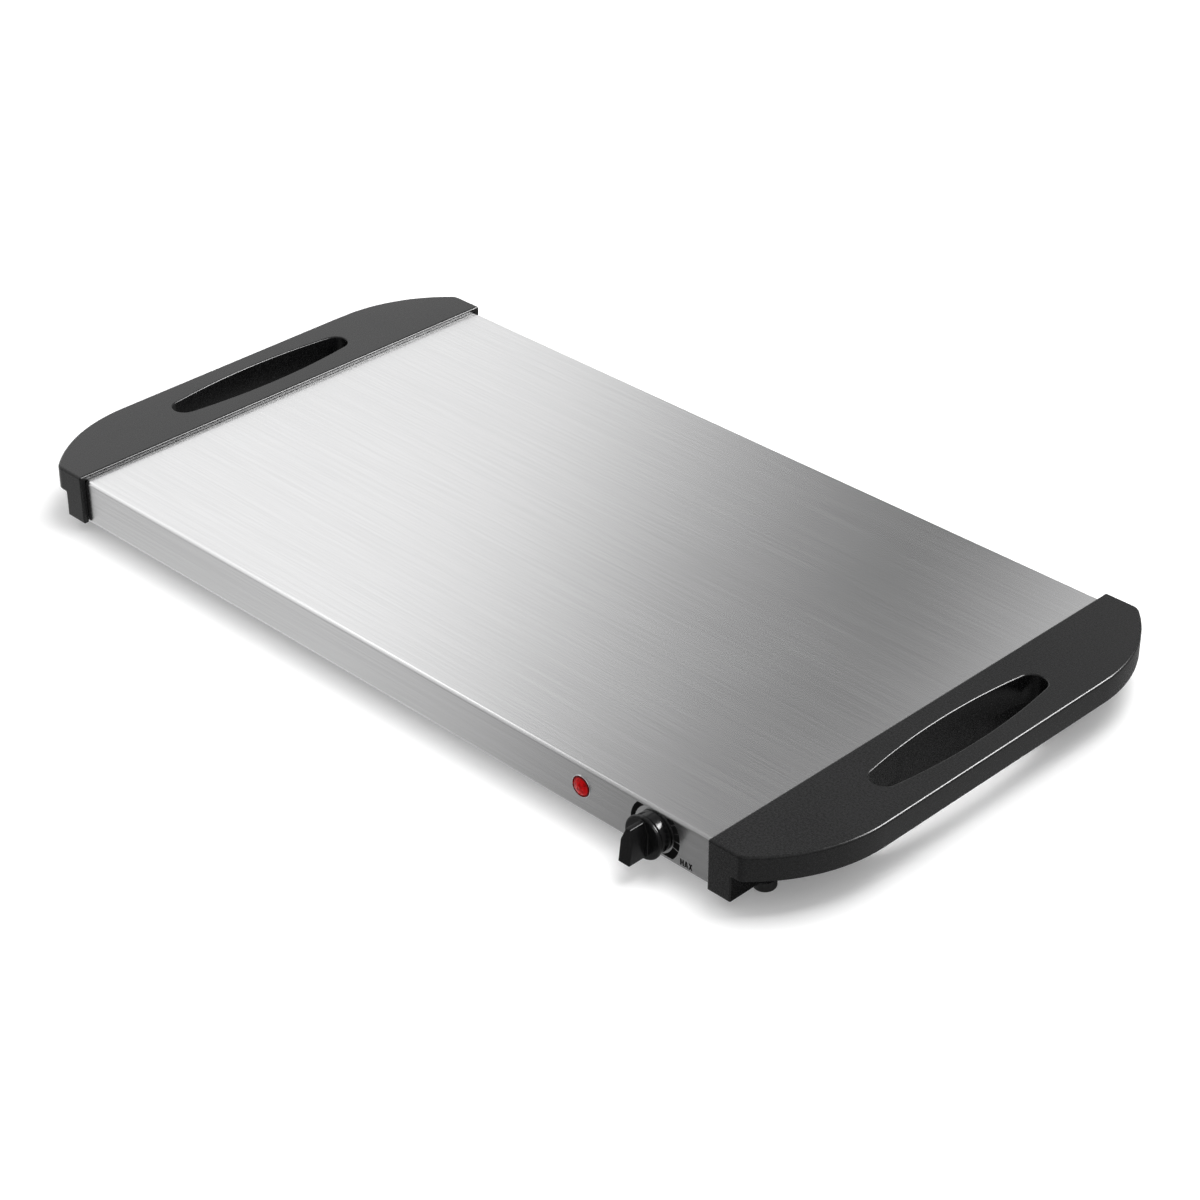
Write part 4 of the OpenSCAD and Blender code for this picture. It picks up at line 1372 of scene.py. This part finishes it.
@dataclass(frozen=True)
class StudioPaper(Finish):
    """The studio's matt paper, lit a little from below, with a faint unevenness.

    Attributes:
        lift: Strength of the light from below, which softens the shadow.
    """

    lift: float = 0.2

    CLOUD_SCALE = 4.0
    DARKEST = 0.99
    CLOUD_ROUGHNESS = 0.05

    def paint(self, sheet: NodeSheet) -> None:
        """Draws the finish's nodes.

        Args:
            sheet: The sheet that they go on.
        """
        clouds = sheet.noise(sheet.place(), detail=3.0, scale=self.CLOUD_SCALE)
        tone = sheet.tint(clouds, self.tone, self.DARKEST, 1.0)
        sheet.surface(
            {
                "Base Color": tone,
                "Roughness": self.roughness + clouds * self.CLOUD_ROUGHNESS,
                "Specular IOR Level": 0.2,
                "Emission Color": tone,
                "Emission Strength": self.lift,
            }
        )


FLOOR_PAPER = StudioPaper("pale_studio_floor", None, (0.86, 0.86, 0.86), 0.8)
# A dark sheet that only reflections see: painted shade that stands in for the shadow under the right grip.
SHADE_CARD_PAPER = StudioPaper("painted_shade_card_paper", None, (0.22, 0.22, 0.22), 0.8, lift=0.0)


@dataclass
class Studio:
    """Floor, room, lights and camera.

    Attributes:
        floor_half: Half the floor's side.
        card_inset: Distance from the right handle's inner end to the card of painted shade.
        card_z: Height at which the card lies.
        glow: Radiance of the brightest part of the room.
        across: Brightness of the room against the X part of the direction, each from 0 to 1.
        up: Brightness of the room against the Z part of the direction, each from 0 to 1.
        camera_at: The camera's place, found from the photograph.
        camera_tilt: Its angle up from straight down, in degrees.
        camera_turn: Its turn about Z, in degrees.
        lens: Its focal length in millimetres.
        sensor: Width of its sensor in millimetres.
        near: Distance from it at which things come into view.
        boxes: The softboxes.
    """

    floor_half: float = 9.0
    card_inset: float = 28.0 * MM
    card_z: float = 0.3 * MM
    glow: float = 2.05
    across: Steps = (
        (0.0, 1.0),
        (0.18, 1.0),
        (0.212, 0.34),
        (0.24, 0.06),
        (0.25, 0.14),
        (0.262, 0.7),
        (0.285, 0.6),
        (0.33, 0.42),
        (0.45, 0.3),
        (0.7, 0.5),
        (1.0, 0.6),
    )
    up: Steps = (
        (0.0, 0.9),
        (0.2, 0.72),
        (0.25, 0.4),
        (0.47, 0.38),
        (0.57, 0.7),
        (0.73, 0.78),
        (0.85, 1.0),
    )
    camera_at: Point = (1.17159, -1.15058, 1.01387)
    camera_tilt: float = 58.1835
    camera_turn: float = 44.793
    lens: float = 89.23
    sensor: float = 36.0
    near: float = 0.05
    boxes: tuple[Softbox, ...] = (
        Softbox("key_box", (0.35, 0.75, 2.5), (0.0, 0.1, 0.0), 1.8, 1.6, 6.3, Glow.SOFT_LIGHT),
        Softbox("rim_box", (1.75, 2.0, 2.0), (0.1, 0.0, 0.0), 1.2, 1.2, 56.0, Glow.HIGHLIGHTS),
        Softbox("bend_box", (-1.8, 0.0, 2.4), (0.0, 0.0, 0.0), 0.9, 0.5, 1.3, Glow.HIGHLIGHTS),
    )

    @staticmethod
    def _lay(name: str, low: Point, high: Point, finish: Finish) -> bpy.types.Object:
        """Lays a flat sheet of paper.

        Args:
            name: Its name.
            low: Its low corner, which also gives its height.
            high: Its high corner.
            finish: Its finish.

        Returns:
            The sheet.
        """
        data = bpy.data.meshes.new(name)
        corners = ((low[0], low[1]), (high[0], low[1]), (high[0], high[1]), (low[0], high[1]))
        data.from_pydata([(x, y, low[2]) for x, y in corners], [], [(0, 1, 2, 3)])
        data.materials.append(finish.material())
        return in_scene(name, data)

    def _floor(self) -> None:
        """Lays the floor, which reflections don't see."""
        half = self.floor_half
        floor = self._lay("pale_floor", (-half, -half, 0.0), (half, half, 0.0), FLOOR_PAPER)
        floor.visible_glossy = False

    def _shade_card(self) -> None:
        """Lays a card of painted shade under the right grip, which only reflections see, so that the slot's
        walls reflect shade.
        """
        low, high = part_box("right_handle")
        near = (low.x + self.card_inset, low.y, self.card_z)
        card = self._lay("painted_shade_card", near, (high.x, high.y, self.card_z), SHADE_CARD_PAPER)
        card.visible_camera = False
        card.visible_diffuse = False
        card.visible_shadow = False

    def _room(self) -> None:
        """Gives the room its wide soft window on the left and its dimmer lower half.

        Each direction's X and Z, from -1 to 1, are read off the two ramps as 0 to 1.
        """
        world = bpy.data.worlds.new("studio_room")
        sheet = NodeSheet(world)
        direction = sheet.add("ShaderNodeTexCoord", output="Generated")
        levels = []
        for axis, steps in (("X", self.across), ("Z", self.up)):
            part = sheet.add("ShaderNodeSeparateXYZ", None, {"Vector": direction}, axis)
            stops = [(place, (level, level, level)) for place, level in steps]
            levels.append(sheet.add("ShaderNodeValToRGB", {"stops": stops}, {"Fac": part * 0.5 + 0.5}))
        light = sheet.add("ShaderNodeBackground", None, {"Strength": levels[0] * levels[1] * self.glow})
        sheet.add("ShaderNodeOutputWorld", None, {"Surface": light})
        bpy.context.scene.world = world

    def _camera(self) -> None:
        """Sets the camera up at the photograph's angle."""
        lens = bpy.data.cameras.new("photo_camera")
        lens.lens = self.lens
        lens.sensor_width = self.sensor
        lens.clip_start = self.near
        camera = in_scene("photo_camera", lens)
        camera.location = self.camera_at
        camera.rotation_euler = (math.radians(self.camera_tilt), 0.0, math.radians(self.camera_turn))
        bpy.context.scene.camera = camera

    def build(self) -> None:
        """Sets the studio up."""
        self._floor()
        self._shade_card()
        self._room()
        for box in self.boxes:
            box.build()
        self._camera()
        bpy.context.scene.view_settings.view_transform = "Standard"


def main() -> None:
    """Builds the tray's looks and the studio."""
    logging.basicConfig(level=logging.INFO, format="%(name)s %(message)s")
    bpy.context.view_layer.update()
    Studio().build()
    Casing().build()
    for side in Side:
        EndHandle(side).build()
    Feet().build()
    DialKnob().build()
    DialPrint().build()
    PilotLamp().build()
    Insides().build()


if __name__ == "__main__":
    main()
